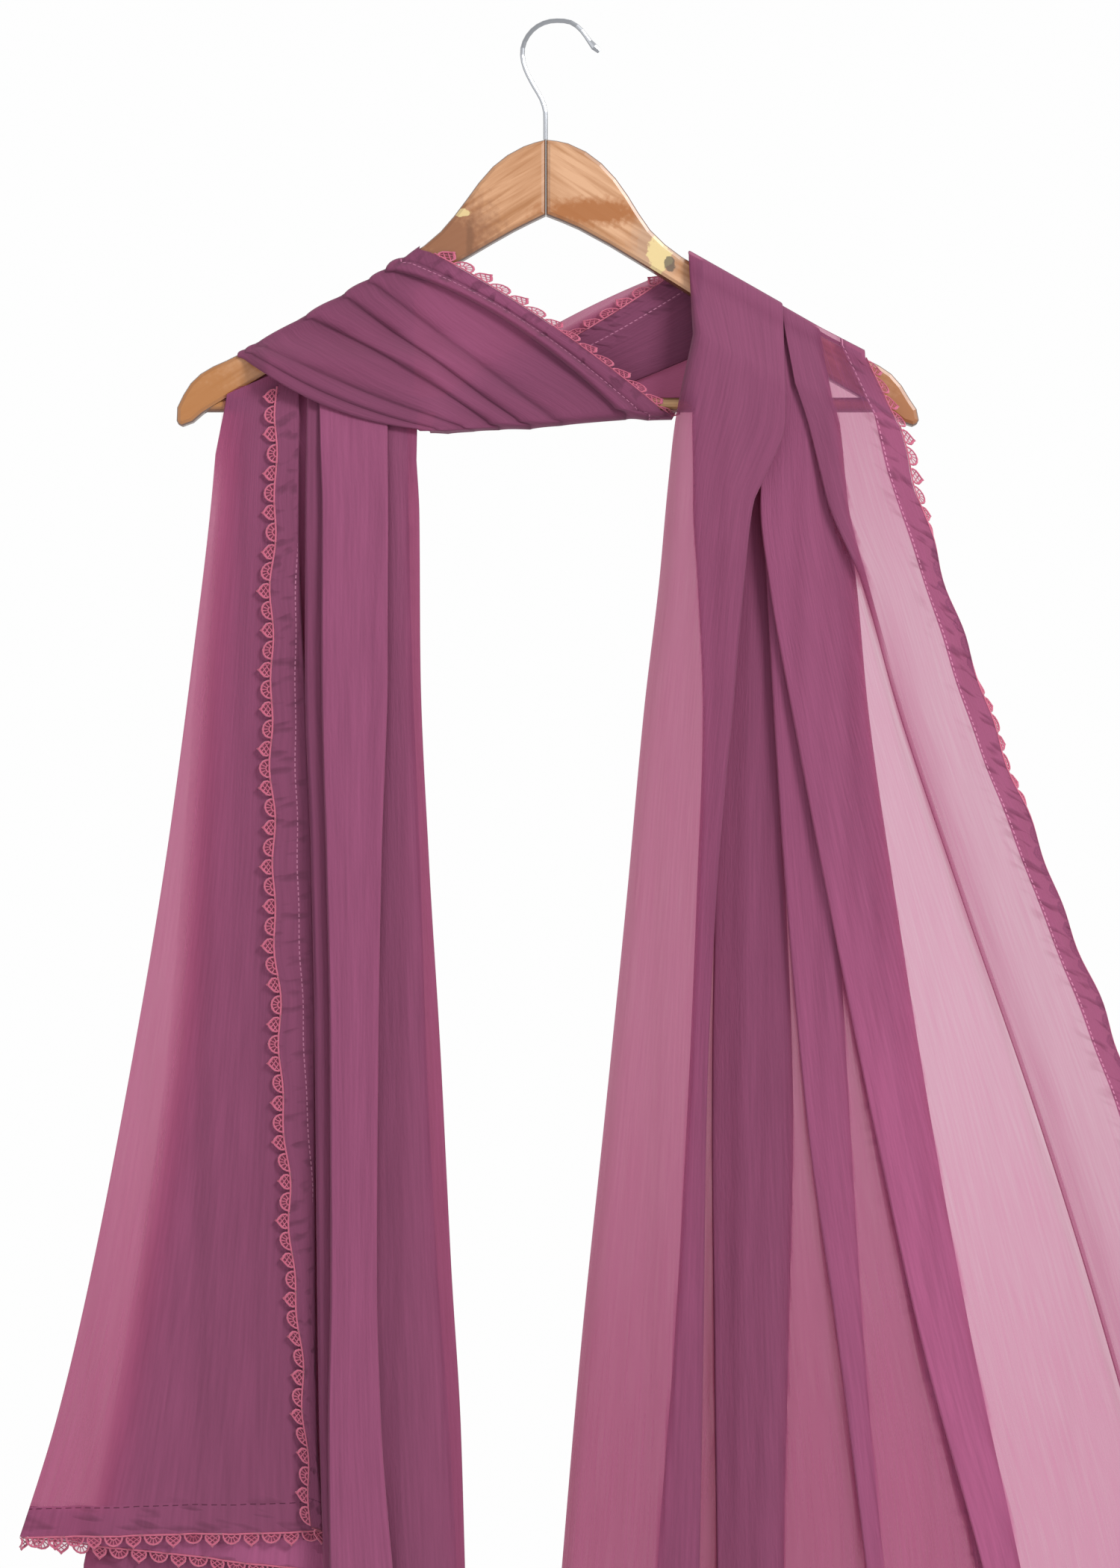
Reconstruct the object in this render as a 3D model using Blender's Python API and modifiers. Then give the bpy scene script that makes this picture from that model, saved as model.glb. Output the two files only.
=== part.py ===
"""A chiffon dupatta stole with a scalloped lace edge, wound round a wooden clothes hanger.

Metres, +Z up, +X to the viewer's right, the front towards -Y. The origin is the point inside the
hook that a rail carries. The stole hangs down on the left, passes behind and over the left arm,
crosses the front to the trouser bar, turns under it, climbs behind the right arm and falls in front
of it. Places on the picture plane are photograph columns and lines, brought to real size by PIXEL.
"""
import math
from collections import namedtuple

import bmesh
import bpy
import numpy as np

# Driving sizes
HANGER_WIDTH = 0.445
HANGER_COLUMNS = 992
PIXEL = HANGER_WIDTH / HANGER_COLUMNS
HOLD_COLUMN = 735
HOLD_LINE = 27
GAP = 0.0003

WOOD_THICK = 0.012
WOOD_EDGE = 0.0025
JOINT_COLUMN = 731
BAR_RADIUS = 0.0045
BAR_LINE = 542
BAR_ENDS = (271, 1195)
WIRE_RADIUS = 0.0014
TIP_SWELL = 1.5

WALL = 0.001
HEM_WALL = 0.0016
SIDE_HEM = 0.015
END_HEM = 0.019

LACE_REPEAT = 0.024
LACE_WALL = 0.001
LACE_ROOT = 0.002
LACE_SEAM = 0.0006
SIDE_CORNER = 0.9995
END_CORNER = 0.97
LEAF_REACH = 0.0075
SCALLOP_REACH = 0.006

CLOTH_COLOUR = (0.26, 0.06, 0.14, 1)
LACE_COLOUR = (0.62, 0.22, 0.3, 1)
WOOD_COLOUR = (0.55, 0.28, 0.12, 1)
WIRE_COLOUR = (0.6, 0.6, 0.62, 1)


def across(column):
    """X of a photograph column."""
    return (np.asarray(column, float) - HOLD_COLUMN) * PIXEL


def height(line):
    """Z of a photograph line."""
    return (HOLD_LINE - np.asarray(line, float)) * PIXEL


def smooth(value):
    """0 to 1 with a soft start and end."""
    value = np.clip(value, 0.0, 1.0)
    return value * value * (3.0 - 2.0 * value)


def material(name, colour, roughness, metallic=0.0):
    finish = bpy.data.materials.get(name)
    if finish:
        return finish
    finish = bpy.data.materials.new(name)
    finish.use_nodes = True
    shader = finish.node_tree.nodes["Principled BSDF"]
    shader.inputs["Base Color"].default_value = colour
    shader.inputs["Roughness"].default_value = roughness
    shader.inputs["Metallic"].default_value = metallic
    return finish


def add_object(name, data, collection, finish):
    piece = bpy.data.objects.new(name, data)
    collection.objects.link(piece)
    piece.data.materials.append(finish)
    return piece


def weld(mesh):
    """Joins points in one place: caps to their sides, and the two lines of a fold at its start."""
    work = bmesh.new()
    work.from_mesh(mesh)
    bmesh.ops.remove_doubles(work, verts=work.verts, dist=1e-6)
    bmesh.ops.recalc_face_normals(work, faces=work.faces)
    work.to_mesh(mesh)
    work.free()


def solid_from_curve(name, curve, collection, finish, tilt=0.0):
    """The curve's mesh with its caps welded on, turned up about X."""
    source = bpy.data.objects.new(name + "_curve", curve)
    collection.objects.link(source)
    source.rotation_euler = (tilt, 0, 0)
    bpy.context.view_layer.update()
    evaluated = source.evaluated_get(bpy.context.evaluated_depsgraph_get())
    mesh = bpy.data.meshes.new_from_object(evaluated)
    mesh.transform(source.matrix_world)
    mesh.materials.clear()
    bpy.data.objects.remove(source)
    weld(mesh)
    return add_object(name, mesh, collection, finish)


def grid_mesh(name, points):
    """A quad mesh through a rows by columns by 3 array."""
    rows, columns = points.shape[:2]
    index = np.arange(rows * columns).reshape(rows, columns)
    corners = (index[:-1, :-1], index[:-1, 1:], index[1:, 1:], index[1:, :-1])
    quads = np.stack(corners, axis=-1).reshape(-1, 4)
    mesh = bpy.data.meshes.new(name)
    mesh.from_pydata(points.reshape(-1, 3).tolist(), [], quads.tolist())
    mesh.shade_smooth()
    return mesh


def cloth(name, points, collection, hem=None):
    """A wall through the grid, thicker where the hem share of a point is 1."""
    finish = material("chiffon", CLOTH_COLOUR, 0.75)
    piece = add_object(name, grid_mesh(name, points), collection, finish)
    wall = piece.modifiers.new("wall", "SOLIDIFY")
    wall.thickness = WALL
    wall.offset = 0
    if hem is not None:
        group = piece.vertex_groups.new(name="hem")
        shares = WALL + (HEM_WALL - WALL) * hem.reshape(-1)
        for index, share in enumerate(shares / HEM_WALL):
            group.add([index], float(share), "REPLACE")
        wall.thickness = HEM_WALL
        wall.vertex_group = group.name
    weld(piece.data)
    return piece


# The hanger: two mitred wooden halves, a trouser bar and a wire hook

# Outline of each half from the mitre's top, along the arm, round the tip and back to the mitre
LEFT_HALF = [
    (701, 196), (660, 223), (624, 268), (590, 310), (545, 345), (450, 403), (350, 459),
    (303, 483), (268, 501), (245, 529), (236, 564), (243, 571), (271, 554), (356, 503),
    (460, 440), (560, 383), (624, 346), (688, 309),
]
RIGHT_HALF = [
    (761, 192), (806, 219), (841, 262), (871, 308), (913, 344), (1000, 393), (1100, 450),
    (1160, 481), (1194, 501), (1219, 535), (1231, 563), (1223, 571), (1196, 556), (1112, 509),
    (1010, 449), (928, 397), (857, 353), (775, 306),
]
MITRE_TOP = 187
MITRE_FOOT = 288
HOOK_ROUTE = [
    (730.5, 185.6), (730.5, 160), (730, 147), (725, 131), (714, 112), (704, 92), (699.5, 74),
    (701, 58), (709, 43), (721, 32.5), (735, 27), (750, 26), (764, 28), (776, 36), (785, 47),
    (793, 58), (800, 65), (803, 67),
]


def wood_half(name, outline, side, collection, cutters):
    """An extruded outline with rounded edges, and a socket for the end of the bar."""
    curve = bpy.data.curves.new(name, "CURVE")
    curve.dimensions = "2D"
    curve.fill_mode = "BOTH"
    curve.extrude = WOOD_THICK / 2 - WOOD_EDGE
    curve.bevel_depth = WOOD_EDGE
    curve.bevel_resolution = 1
    curve.resolution_u = 2
    curve.offset = -WOOD_EDGE
    mitre = JOINT_COLUMN + side * GAP / 2 / PIXEL
    points = [(mitre, MITRE_TOP), *outline, (mitre, MITRE_FOOT)]
    spline = curve.splines.new("BEZIER")
    spline.bezier_points.add(len(points) - 1)
    spline.use_cyclic_u = True
    for knot, (column, line) in zip(spline.bezier_points, points):
        knot.co = (float(across(column)), float(height(line)), 0)
        corner = (column, line) in (points[0], points[-1])
        knot.handle_left_type = "VECTOR" if corner else "AUTO"
        knot.handle_right_type = "VECTOR" if corner else "AUTO"
    piece = solid_from_curve(name, curve, collection,
                             material("varnished wood", WOOD_COLOUR, 0.35), math.pi / 2)

    end = BAR_ENDS[0] if side < 0 else BAR_ENDS[1]
    inner = JOINT_COLUMN + side * 330
    bpy.ops.mesh.primitive_cylinder_add(
        vertices=24, radius=BAR_RADIUS + GAP, depth=abs(end - inner) * PIXEL + GAP,
        location=(float(across((end + inner) / 2)) + side * GAP / 2, 0, float(height(BAR_LINE))),
        rotation=(0, math.pi / 2, 0))
    socket = bpy.context.object
    socket.name = name + "_socket"
    for owner in list(socket.users_collection):
        owner.objects.unlink(socket)
    cutters.objects.link(socket)
    socket.hide_render = True
    socket.display_type = "WIRE"
    cut = piece.modifiers.new("socket", "BOOLEAN")
    cut.object = socket
    cut.solver = "EXACT"
    return piece


def smooth_route(points, count):
    """Catmull-Rom curve through the points, read at even steps."""
    points = np.array(points, float)
    padded = np.vstack([2 * points[0] - points[1], points, 2 * points[-1] - points[-2]])
    spans = np.linspace(0, len(points) - 1.0001, 12 * len(points))
    first = spans.astype(int)
    part = (spans - first)[:, None]
    a, b, c, d = (padded[first + step] for step in range(4))
    curve = 0.5 * (2 * b + (c - a) * part + (2 * a - 5 * b + 4 * c - d) * part ** 2
                   + (3 * b - a - 3 * c + d) * part ** 3)
    lengths = np.concatenate([[0], np.cumsum(np.linalg.norm(np.diff(curve, axis=0), axis=1))])
    places = np.linspace(0, lengths[-1], count)
    return np.stack([np.interp(places, lengths, curve[:, axis]) for axis in range(2)], axis=1)


def hook(collection):
    """The wire of the hook, with a rounded, thicker tip."""
    route = smooth_route(HOOK_ROUTE, 30)
    curve = bpy.data.curves.new("hanger_hook", "CURVE")
    curve.dimensions = "3D"
    curve.bevel_depth = WIRE_RADIUS
    curve.bevel_resolution = 2
    curve.use_fill_caps = True
    spline = curve.splines.new("POLY")
    spline.points.add(len(route) - 1)
    swell = np.ones(len(route))
    swell[-3:] = (1.15, TIP_SWELL, TIP_SWELL * 0.75)
    for knot, (column, line), radius in zip(spline.points, route, swell):
        knot.co = (float(across(column)), 0, float(height(line)), 1)
        knot.radius = float(radius)
    piece = solid_from_curve("hanger_hook", curve, collection,
                             material("plated wire", WIRE_COLOUR, 0.25, 1.0))
    piece.data.shade_smooth()


def trouser_bar(collection):
    first, last = BAR_ENDS
    bpy.ops.mesh.primitive_cylinder_add(
        vertices=20, radius=BAR_RADIUS, depth=(last - first) * PIXEL,
        location=(float(across((first + last) / 2)), 0, float(height(BAR_LINE))),
        rotation=(0, math.pi / 2, 0))
    bar = bpy.context.object
    bar.name = "hanger_bar"
    for owner in list(bar.users_collection):
        owner.objects.unlink(bar)
    collection.objects.link(bar)
    bar.data.materials.append(material("varnished wood", WOOD_COLOUR, 0.35))
    bar.data.shade_smooth()
    bar.data.set_sharp_from_angle(angle=math.radians(40))


# Over an arm: the cloth's way from the ridge to the arm's face

LEFT_RIDGE = ((303, 483), (350, 459), (450, 403), (545, 345), (590, 310))
RIGHT_RIDGE = ((871, 308), (913, 344), (1000, 393), (1100, 450), (1160, 481), (1194, 501))
LEFT_FOOT = ((296, 538), (356, 503), (460, 440), (560, 383), (624, 346))
SaddleRow = namedtuple("SaddleRow", "reach lift stack_out stack_up")
# reach: from the hanger's middle plane; lift: above the ridge; then the share of a layer's depth
SADDLE = [
    SaddleRow(0.00025, 0.0013, 0.0, 1.0), SaddleRow(0.0034, 0.0012, 0.0, 1.0),
    SaddleRow(0.0062, 0.0001, 0.7, 0.7),
]


def on_table(table, column):
    """Height of a table of columns and lines at the columns asked for."""
    columns, lines = zip(*table)
    return height(np.interp(column, columns, lines))


def saddle(columns, depths, ridge, side):
    """Rows over an arm, from its ridge to its face, for layers at the given depths."""
    top = on_table(ridge, columns)
    x = across(columns)
    rows = []
    for row in SADDLE:
        y = side * (row.reach + depths * row.stack_out)
        rows.append(np.stack([x, y, top + row.lift + depths * row.stack_up], axis=1))
    return rows


# The hanging stretches: one wall that zigzags from fold line to fold line

Fold = namedtuple("Fold", "name top_column top_line hem_line top_depth start_column ranks columns")
# Each row is a fold line, in the order that the cloth is walked from one long edge to the other.
# top_depth: millimetres in front of the stack's back for the layer that leaves the fold, at the top
# start_column: where the fold is at the row in which the small folds start; equal for their two lines
# ranks: place of that layer in the stack, 0 in front, at that row and further down
# columns: where the fold line is at each of the levels

LEFT_LEVELS = (690, 900, 1150, 1400, 1700, 1900, 2100)
LEFT_FOLDS = [
    Fold("lace edge", 374, 502, 2040, 3.4, 373, (5, 5), (371, 367, 370, 379, 397, 412, 420)),
    Fold("hem turn", 402, 506, 2046, 1.8, 402, (6, 6), (402, 410, 420, 424, 424, 426, 440)),
    Fold("left side", 304, 536, 2059, 0.4, 290, (7, 7), (280, 253, 221, 176, 123, 77, 14)),
    Fold("back right", 432, 514, 2105, 0.3, 438, (8, 8), (515, 500, 490, 488, 485, 482, 476)),
    Fold("soft left", 444, 516, 2112, 0.2, 438, (9, 9), (284, 270, 262, 243, 225, 210, 190)),
    Fold("deep right", 458, 517, 2122, 0.1, 468, (10, 10), (520, 522, 520, 518, 518, 518, 515)),
    Fold("soft middle", 472, 519, 2130, 0.0, 468, (11, 11), (314, 318, 326, 333, 340, 343, 345)),
    Fold("back side", 545, 530, 2150, 4.9, 547, (4, 4), (548, 553, 563, 571, 586, 601, 612)),
    Fold("strip left", 412, 510, 2165, 8.1, 412, (2, 2), (411, 413, 424, 430, 434, 435, 437)),
    Fold("strip tuck", 452, 516, 2168, 9.4, 455, (1, 1), (455, 456, 462, 465, 465, 465, 468)),
    Fold("panel left", 428, 512, 2168, 10.7, 431, (0, 0), (434, 434, 440, 445, 446, 443, 445)),
    Fold("panel right", 520, 526, 2172, 9.4, 521, (1, 1), (522, 522, 514, 510, 508, 514, 530)),
    Fold("panel tuck", 477, 520, 2176, 8.1, 477, (2, 2), (477, 477, 476, 474, 472, 476, 487)),
    Fold("right side", 560, 532, 2186, 6.5, 559, (3, 3), (559, 560, 570, 585, 601, 615, 624)),
    Fold("far edge", 507, 524, 2190, 6.5, 510, (3, 3), (512, 516, 522, 525, 522, 530, 536)),
]
LEFT_ROWS = (0.0, 0.02, 0.053, 0.11, 0.2, 0.32, 0.45, 0.58, 0.71, 0.84)
LEFT_START = 0.053
LEFT_CLEARANCE = ((560, 0.0056), (2200, -0.006))

RIGHT_LEVELS = (570, 680, 780, 950, 1200, 1500, 1800, 2100, 2870)
RIGHT_FOLDS = [
    Fold("lace edge", 1158, 0, 2830, 4.1, 1202, (2, 2),
         (1200, 1237, 1271, 1324, 1419, 1535, 1634, 1718, 1834)),
    Fold("crease", 1058, 0, 2850, 2.7, 1070, (3, 3),
         (1079, 1106, 1148, 1197, 1281, 1385, 1478, 1560, 1690)),
    Fold("crease back", 1098, 0, 2850, 1.3, 1114, (4, 4),
         (1122, 1133, 1158, 1207, 1291, 1395, 1488, 1570, 1700)),
    Fold("band left", 1034, 0, 2860, 1.1, 1026, (5, 5),
         (1019, 1016, 1027, 1057, 1105, 1166, 1232, 1314, 1500)),
    Fold("band right", 1025, 0, 2862, 0.9, 1026, (6, 6),
         (1112, 1130, 1144, 1160, 1196, 1244, 1300, 1365, 1518)),
    Fold("second left", 1015, 0, 2868, 0.7, 1009, (7, 7),
         (1026, 1020, 1025, 1034, 1051, 1079, 1121, 1159, 1250)),
    Fold("second right", 1006, 0, 2869, 0.5, 1009, (8, 8),
         (1080, 1090, 1095, 1105, 1120, 1137, 1156, 1183, 1262)),
    Fold("centre left", 997, 0, 2872, 0.3, 992, (9, 9),
         (990, 985, 980, 968, 957, 953, 956, 960, 968)),
    Fold("centre right", 988, 0, 2873, 0.1, 992, (10, 10),
         (1048, 1045, 1042, 1040, 1052, 1062, 1056, 1050, 1045)),
    Fold("inner left", 968, 0, 2876, 4.1, 950, (1, 1),
         (926, 927, 933, 940, 932, 919, 902, 880, 850)),
    Fold("panel right", 1037, 0, 2878, 5.5, 1029, (0, 0),
         (1021, 1006, 994, 979, 957, 944, 940, 935, 925)),
    Fold("left side", 922, 0, 2885, 2.8, 927, (11, 11),
         (903, 891, 882, 862, 839, 809, 778, 752, 690)),
    Fold("far edge", 952, 0, 2895, 2.8, 954, (11, 11),
         (1095, 1108, 1118, 1130, 1160, 1205, 1270, 1340, 1400)),
]
RIGHT_ROWS = (0.008, 0.022, 0.0405, 0.0725, 0.11, 0.16, 0.24, 0.34, 0.46, 0.6, 0.76)
RIGHT_START = 0.0405
RIGHT_CLEARANCE = ((340, 0.0073), (560, 0.0066), (2880, -0.006))

BACK_RANK = 11
PITCH_NEAR = 0.0017
PITCH_LOW = 0.0027
PITCH_HEM = 0.0034
LINES_LOW = 330
TURN_REACH = 0.009
WAVE_LENGTH = 0.36
WAVE_DEPTH = 0.004
SPREAD_FROM = 0.25


def layer_depths(folds, lines, start):
    """Depth of the layer that leaves each fold, in front of the stack's back."""
    depths = []
    for fold, line in zip(folds, lines):
        below = line - fold.top_line
        length = fold.hem_line - fold.top_line
        near, low = (BACK_RANK - rank for rank in fold.ranks)
        depths.append(np.interp(
            below, (SPREAD_FROM * start * length, start * length, LINES_LOW, length),
            (fold.top_depth / 1000, near * PITCH_NEAR, low * PITCH_LOW, low * PITCH_HEM)))
    return np.array(depths)


def turn_points(place, depth_in, depth_out, heading, reach, wide):
    """Points round a wide fold: half an ellipse from one layer's depth to the next one's."""
    angles = np.radians([-45, 0, 45] if wide else [])
    return (place - heading * reach * (1 - np.cos(angles)),
            (depth_in + depth_out) / 2 + (depth_out - depth_in) / 2 * np.sin(angles))


def hem_columns(edge, inner, spread):
    """Puts a column at the inner side of a side hem, one just past it, and the rest after them."""
    width = abs(inner - edge)
    sign = 1.0 if inner >= edge else -1.0
    first = min(SIDE_HEM, 0.6 * width)
    second = min(SIDE_HEM + 0.002, 0.7 * width)
    rest = len(spread) - 2
    later = [second + (width - second) * (step + 1) / (rest + 1) for step in range(rest)]
    return [edge + sign * place for place in (first, second, *later)]


def walk(places, lines, depths, plan):
    """Walks one row through all its folds. Returns rows of X, line, depth and hem share."""
    out = []
    last = len(depths) - 1
    for layer in range(last + 1):
        heading, wide, mids = plan[layer]
        start, end = places[layer], places[layer + 1]
        width = abs(end - start)
        wide_before = layer > 0 and plan[layer - 1][1]
        before = abs(depths[layer] - depths[layer - 1]) / 2 if wide_before else 0.0
        after = abs(depths[layer + 1] - depths[layer]) / 2 if wide else 0.0
        before, after = (min(half, TURN_REACH) if half else min(WALL / 2, 0.15 * width)
                         for half in (before, after))
        squeeze = min(1.0, 0.8 * width / (before + after + 1e-9))
        sign = 1.0 if end >= start else -1.0
        first = start + sign * before * squeeze
        final = end - sign * after * squeeze
        spread = list(np.linspace(first, final, mids + 2)[1:-1])
        if layer == 0:
            spread = hem_columns(first, final, spread)
        elif layer == last:
            spread = hem_columns(final, first, spread)[::-1]
        for place in (first, *spread, final):
            part = (place - start) / (end - start) if width > 1e-9 else 0.5
            line = lines[layer] + (lines[layer + 1] - lines[layer]) * part
            from_edge = abs(place - (start if layer == 0 else end))
            hem = layer in (0, last) and from_edge < SIDE_HEM + 1e-5
            out.append((place, line, depths[layer], float(hem)))
        if wide:
            turn_x, turn_depth = turn_points(end, depths[layer], depths[layer + 1], sign,
                                             after * squeeze, wide)
            out.extend((x, lines[layer + 1], depth, 0.0) for x, depth in zip(turn_x, turn_depth))
    return np.array(out)


def layer_plan(folds):
    """For each layer: its direction, whether the turn after it is wide, and points along it."""
    plan = []
    for number, (first, second) in enumerate(zip(folds, folds[1:])):
        widest = max(abs(a - b) for a, b in zip(first.columns, second.columns)) * PIXEL
        mids = int(np.clip(round(widest / 0.075), 0, 4))
        if number in (0, len(folds) - 2):
            mids += 2
        heading = np.sign(second.columns[2] - first.columns[2])
        wide = number < len(folds) - 2 and abs(second.ranks[0] - first.ranks[0]) > 3
        plan.append((heading, wide, mids))
    return plan


def hanging_stretch(folds, levels, shares, start, clearances, over_arm):
    """Grid of points and hem shares for a stretch that hangs from the arm or the bar."""
    plan = layer_plan(folds)
    tops = np.array([fold.top_line for fold in folds], float)
    hems = np.array([fold.hem_line for fold in folds], float)
    end_hem = 1 - END_HEM / ((hems[0] - tops[0]) * PIXEL)
    grid = []
    marks = []
    for share in (*shares, end_hem, 1.0):
        lines = tops + (hems - tops) * share
        if share <= start:
            columns = np.array([fold.top_column + (fold.start_column - fold.top_column)
                                * share / start for fold in folds])
        else:
            columns = np.array([np.interp(line, levels, fold.columns)
                                for fold, line in zip(folds, lines)])
        depths = layer_depths(folds, lines, start)[:-1]
        x, line, depth, hem = walk(across(columns), lines, depths, plan).T
        clearance = np.interp(lines.mean(), *zip(*clearances))
        wave = WAVE_DEPTH * np.sin(2 * math.pi * x / WAVE_LENGTH + 0.7)
        wave *= smooth((share - 0.08) / 0.9)
        grid.append(np.stack([x, wave - clearance - depth, height(line)], axis=1))
        marks.append(np.maximum(hem, 1.0 if share >= end_hem else 0.0))
    if over_arm:
        columns = np.array([fold.top_column for fold in folds], float)
        depths = np.array([fold.top_depth for fold in folds[:-1]]) / 1000
        x, line, depth, hem = walk(across(columns), tops, depths, plan).T
        rows = saddle(x / PIXEL + HOLD_COLUMN, depth, over_arm, -1)
        grid = rows + grid
        marks = [hem] * len(rows) + marks
    return np.array(grid), np.array(marks)


def with_ridge(folds, ridge):
    """Gives each fold of a stretch its line on top of the arm."""
    columns, lines = zip(*ridge)
    return [fold._replace(top_line=float(np.interp(fold.top_column, columns, lines)))
            for fold in folds]


# The front drape: from the left arm across to the bar, under it and a little up behind it

Pleat = namedtuple("Pleat", "name start middle end height")
# Each row is a line of the front drape, from its lower edge to its laced edge: photograph places on
# the arm, half way and under the bar, and how far the cloth stands out just past the line
FRONT_PLEATS = [
    Pleat("lower edge", (318, 475), (440, 549), (576, 580), 0.0012),
    Pleat("first roll", (328, 469), (455, 538), (600, 581), 0.0022),
    Pleat("second roll", (344, 461), (488, 528), (634, 578), 0.0026),
    Pleat("third", (408, 424), (532, 489), (668, 576), 0.0028),
    Pleat("fourth", (460, 396), (562, 471), (710, 575), 0.0026),
    Pleat("fifth", (494, 376), (618, 470), (752, 570), 0.0024),
    Pleat("deep tuck", (516, 362), (672, 428), (838, 562), 0.0036),
    Pleat("hem crease", (542, 346), (708, 434), (868, 563), 0.0012),
    Pleat("laced edge", (562, 332), (731, 432), (900, 562), 0.0),
]
FRONT_ROWS = (0.06, 0.18, 0.34, 0.5, 0.66, 0.81)
FRONT_STEPS = ((0.0, 0.0), (0.14, 1.0), (0.62, 0.6))
FRONT_DEPTH = 0.0074
BULGE = 0.0128
TURN_LINE = 545
TURN_ANGLES = (25, 60, 90, 135, 180)
BACK_DEPTH = 0.0072
BACK_TOP_LINE = 550


def pleat_line(pleat, share):
    """A parabola through the pleat's three places."""
    first, middle, last = (np.array(place, float) for place in (pleat.start, pleat.middle, pleat.end))
    return (first * (1 - share) * (1 - 2 * share) + middle * 4 * share * (1 - share)
            + last * share * (2 * share - 1))


def front_depth(column, line, rise):
    """How far the drape stands out: over the arm's face, and further over the left stretch's top."""
    bulge = BULGE * smooth((column - 322) / 42) * smooth((line - 443) / 52)
    return FRONT_DEPTH + bulge * smooth((650 - column) / 80) + rise


def front_drape():
    """Grid from the top of the left arm, down the front and round under the bar."""
    spots = [(low, high, step, stand) for low, high in zip(FRONT_PLEATS, FRONT_PLEATS[1:])
             for step, stand in FRONT_STEPS]
    spots.append((FRONT_PLEATS[-2], FRONT_PLEATS[-1], 1.0, 0.0))
    rises = np.array([low.height * stand for low, high, step, stand in spots])

    def row_at(share):
        return np.array([pleat_line(low, share) * (1 - step) + pleat_line(high, share) * step
                         for low, high, step, stand in spots])

    start = row_at(0.0)
    grid = saddle(start[:, 0], rises * 0.4, LEFT_RIDGE, -1)
    for share in FRONT_ROWS:
        place = row_at(share)
        rise = rises * math.sin(math.pi * (0.14 + 0.7 * share))
        depth = front_depth(place[:, 0], place[:, 1], rise)
        grid.append(np.stack([across(place[:, 0]), -depth, height(place[:, 1])], axis=1))
    last = row_at(FRONT_ROWS[-1])
    end = row_at(1.0)
    turn = height(np.maximum(last[:, 1] + 3, np.minimum(TURN_LINE, end[:, 1] - 14)))
    bottom = height(end[:, 1]) + rises * 0.3
    for angle in TURN_ANGLES:
        lift = math.sin(math.radians(angle))
        reach = math.cos(math.radians(angle))
        if angle <= 90:
            place = last + (end - last) * min(1.0, 0.2 + 1.6 * lift)
            depth = front_depth(last[:, 0], last[:, 1], rises * 0.7) * reach
            z = turn + (bottom - turn) * lift
        else:
            place = end + (np.array((6.0, 0.0)) * (1 - lift))
            depth = (BACK_DEPTH + rises * 0.2 * lift) * reach
            z = bottom * lift + height(BACK_TOP_LINE) * (1 - lift)
        grid.append(np.stack([across(place[:, 0]), -depth, z], axis=1))
    return np.array(grid)


# The back drape: from the bar up behind the right arm, folded in three along its length

BackSpot = namedtuple("BackSpot", "share layer")
# Walk across it: share of the way from its laced upper edge to its lower edge, and which layer
BACK_SPOTS = [
    BackSpot(0.0, 0), BackSpot(0.12, 0), BackSpot(0.32, 0), BackSpot(0.5, 0.1), BackSpot(0.54, 0.5),
    BackSpot(0.5, 0.9), BackSpot(0.25, 1), BackSpot(-0.08, 1.1), BackSpot(-0.12, 1.5),
    BackSpot(-0.08, 1.9), BackSpot(0.25, 2), BackSpot(0.5, 2), BackSpot(0.64, 1.4),
    BackSpot(0.8, 0.7), BackSpot(0.9, 0.7), BackSpot(1.0, 0.7),
]
BACK_FOOT = ((566, 548), (896, 548))
BACK_HEAD = ((924, 350), (1156, 479))
BACK_PITCH = 0.0023
BACK_ROWS = (0.0, 0.12, 0.26, 0.42, 0.58, 0.74, 0.88, 0.98)


def back_drape():
    """Grid from behind the bar up to the ridge of the right arm."""
    foot = np.array(BACK_FOOT, float)
    head = np.array(BACK_HEAD, float)
    layers = np.array([spot.layer for spot in BACK_SPOTS])
    grid = []
    for share in BACK_ROWS:
        swell = math.sin(math.pi * share)
        upper = foot[0] * (1 - share) + head[0] * share + np.array((10, 8)) * swell
        lower = foot[1] * (1 - share) + head[1] * share
        spread = np.array([spot.share if spot.share >= 0 else spot.share * swell * 1.3
                           for spot in BACK_SPOTS])[:, None]
        place = upper * (1 - spread) + lower * spread
        depth = BACK_DEPTH + 0.0003 + layers * BACK_PITCH * (0.85 + 0.15 * swell)
        grid.append(np.stack([across(place[:, 0]), depth, height(place[:, 1])], axis=1))
    spread = np.array([max(spot.share, 0.0) for spot in BACK_SPOTS])[:, None]
    place = head[0] * (1 - spread) + head[1] * spread
    return np.array(grid + saddle(place[:, 0], layers * BACK_PITCH * 0.85, RIGHT_RIDGE, 1)[::-1])


# The left wrap: down the back of the left arm and forward through the window above the bar

WrapColumn = namedtuple("WrapColumn", "on_ridge at_foot foot_line stand")
WRAP = [
    WrapColumn(322, 334, 529, 0.0), WrapColumn(346, 350, 526, 1.0), WrapColumn(374, 376, 522, 0.2),
    WrapColumn(404, 404, 518, 1.2), WrapColumn(436, 432, 513, 0.1), WrapColumn(470, 466, 516, 1.3),
    WrapColumn(502, 498, 521, 0.2), WrapColumn(532, 526, 525, 1.0), WrapColumn(560, 554, 528, 0.0),
]
WrapRow = namedtuple("WrapRow", "share depth to_foot")
# share: down the arm's back; then depth and how far on from the arm's lower edge to the foot
WRAP_ROWS = [
    WrapRow(0.12, 0.0075, 0.0), WrapRow(0.55, 0.0077, 0.0), WrapRow(1.0, 0.0075, 0.12),
    WrapRow(1.0, 0.0035, 0.45), WrapRow(1.0, -0.001, 0.75), WrapRow(1.0, -0.0046, 1.0),
]
WRAP_STAND = 0.0016


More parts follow.
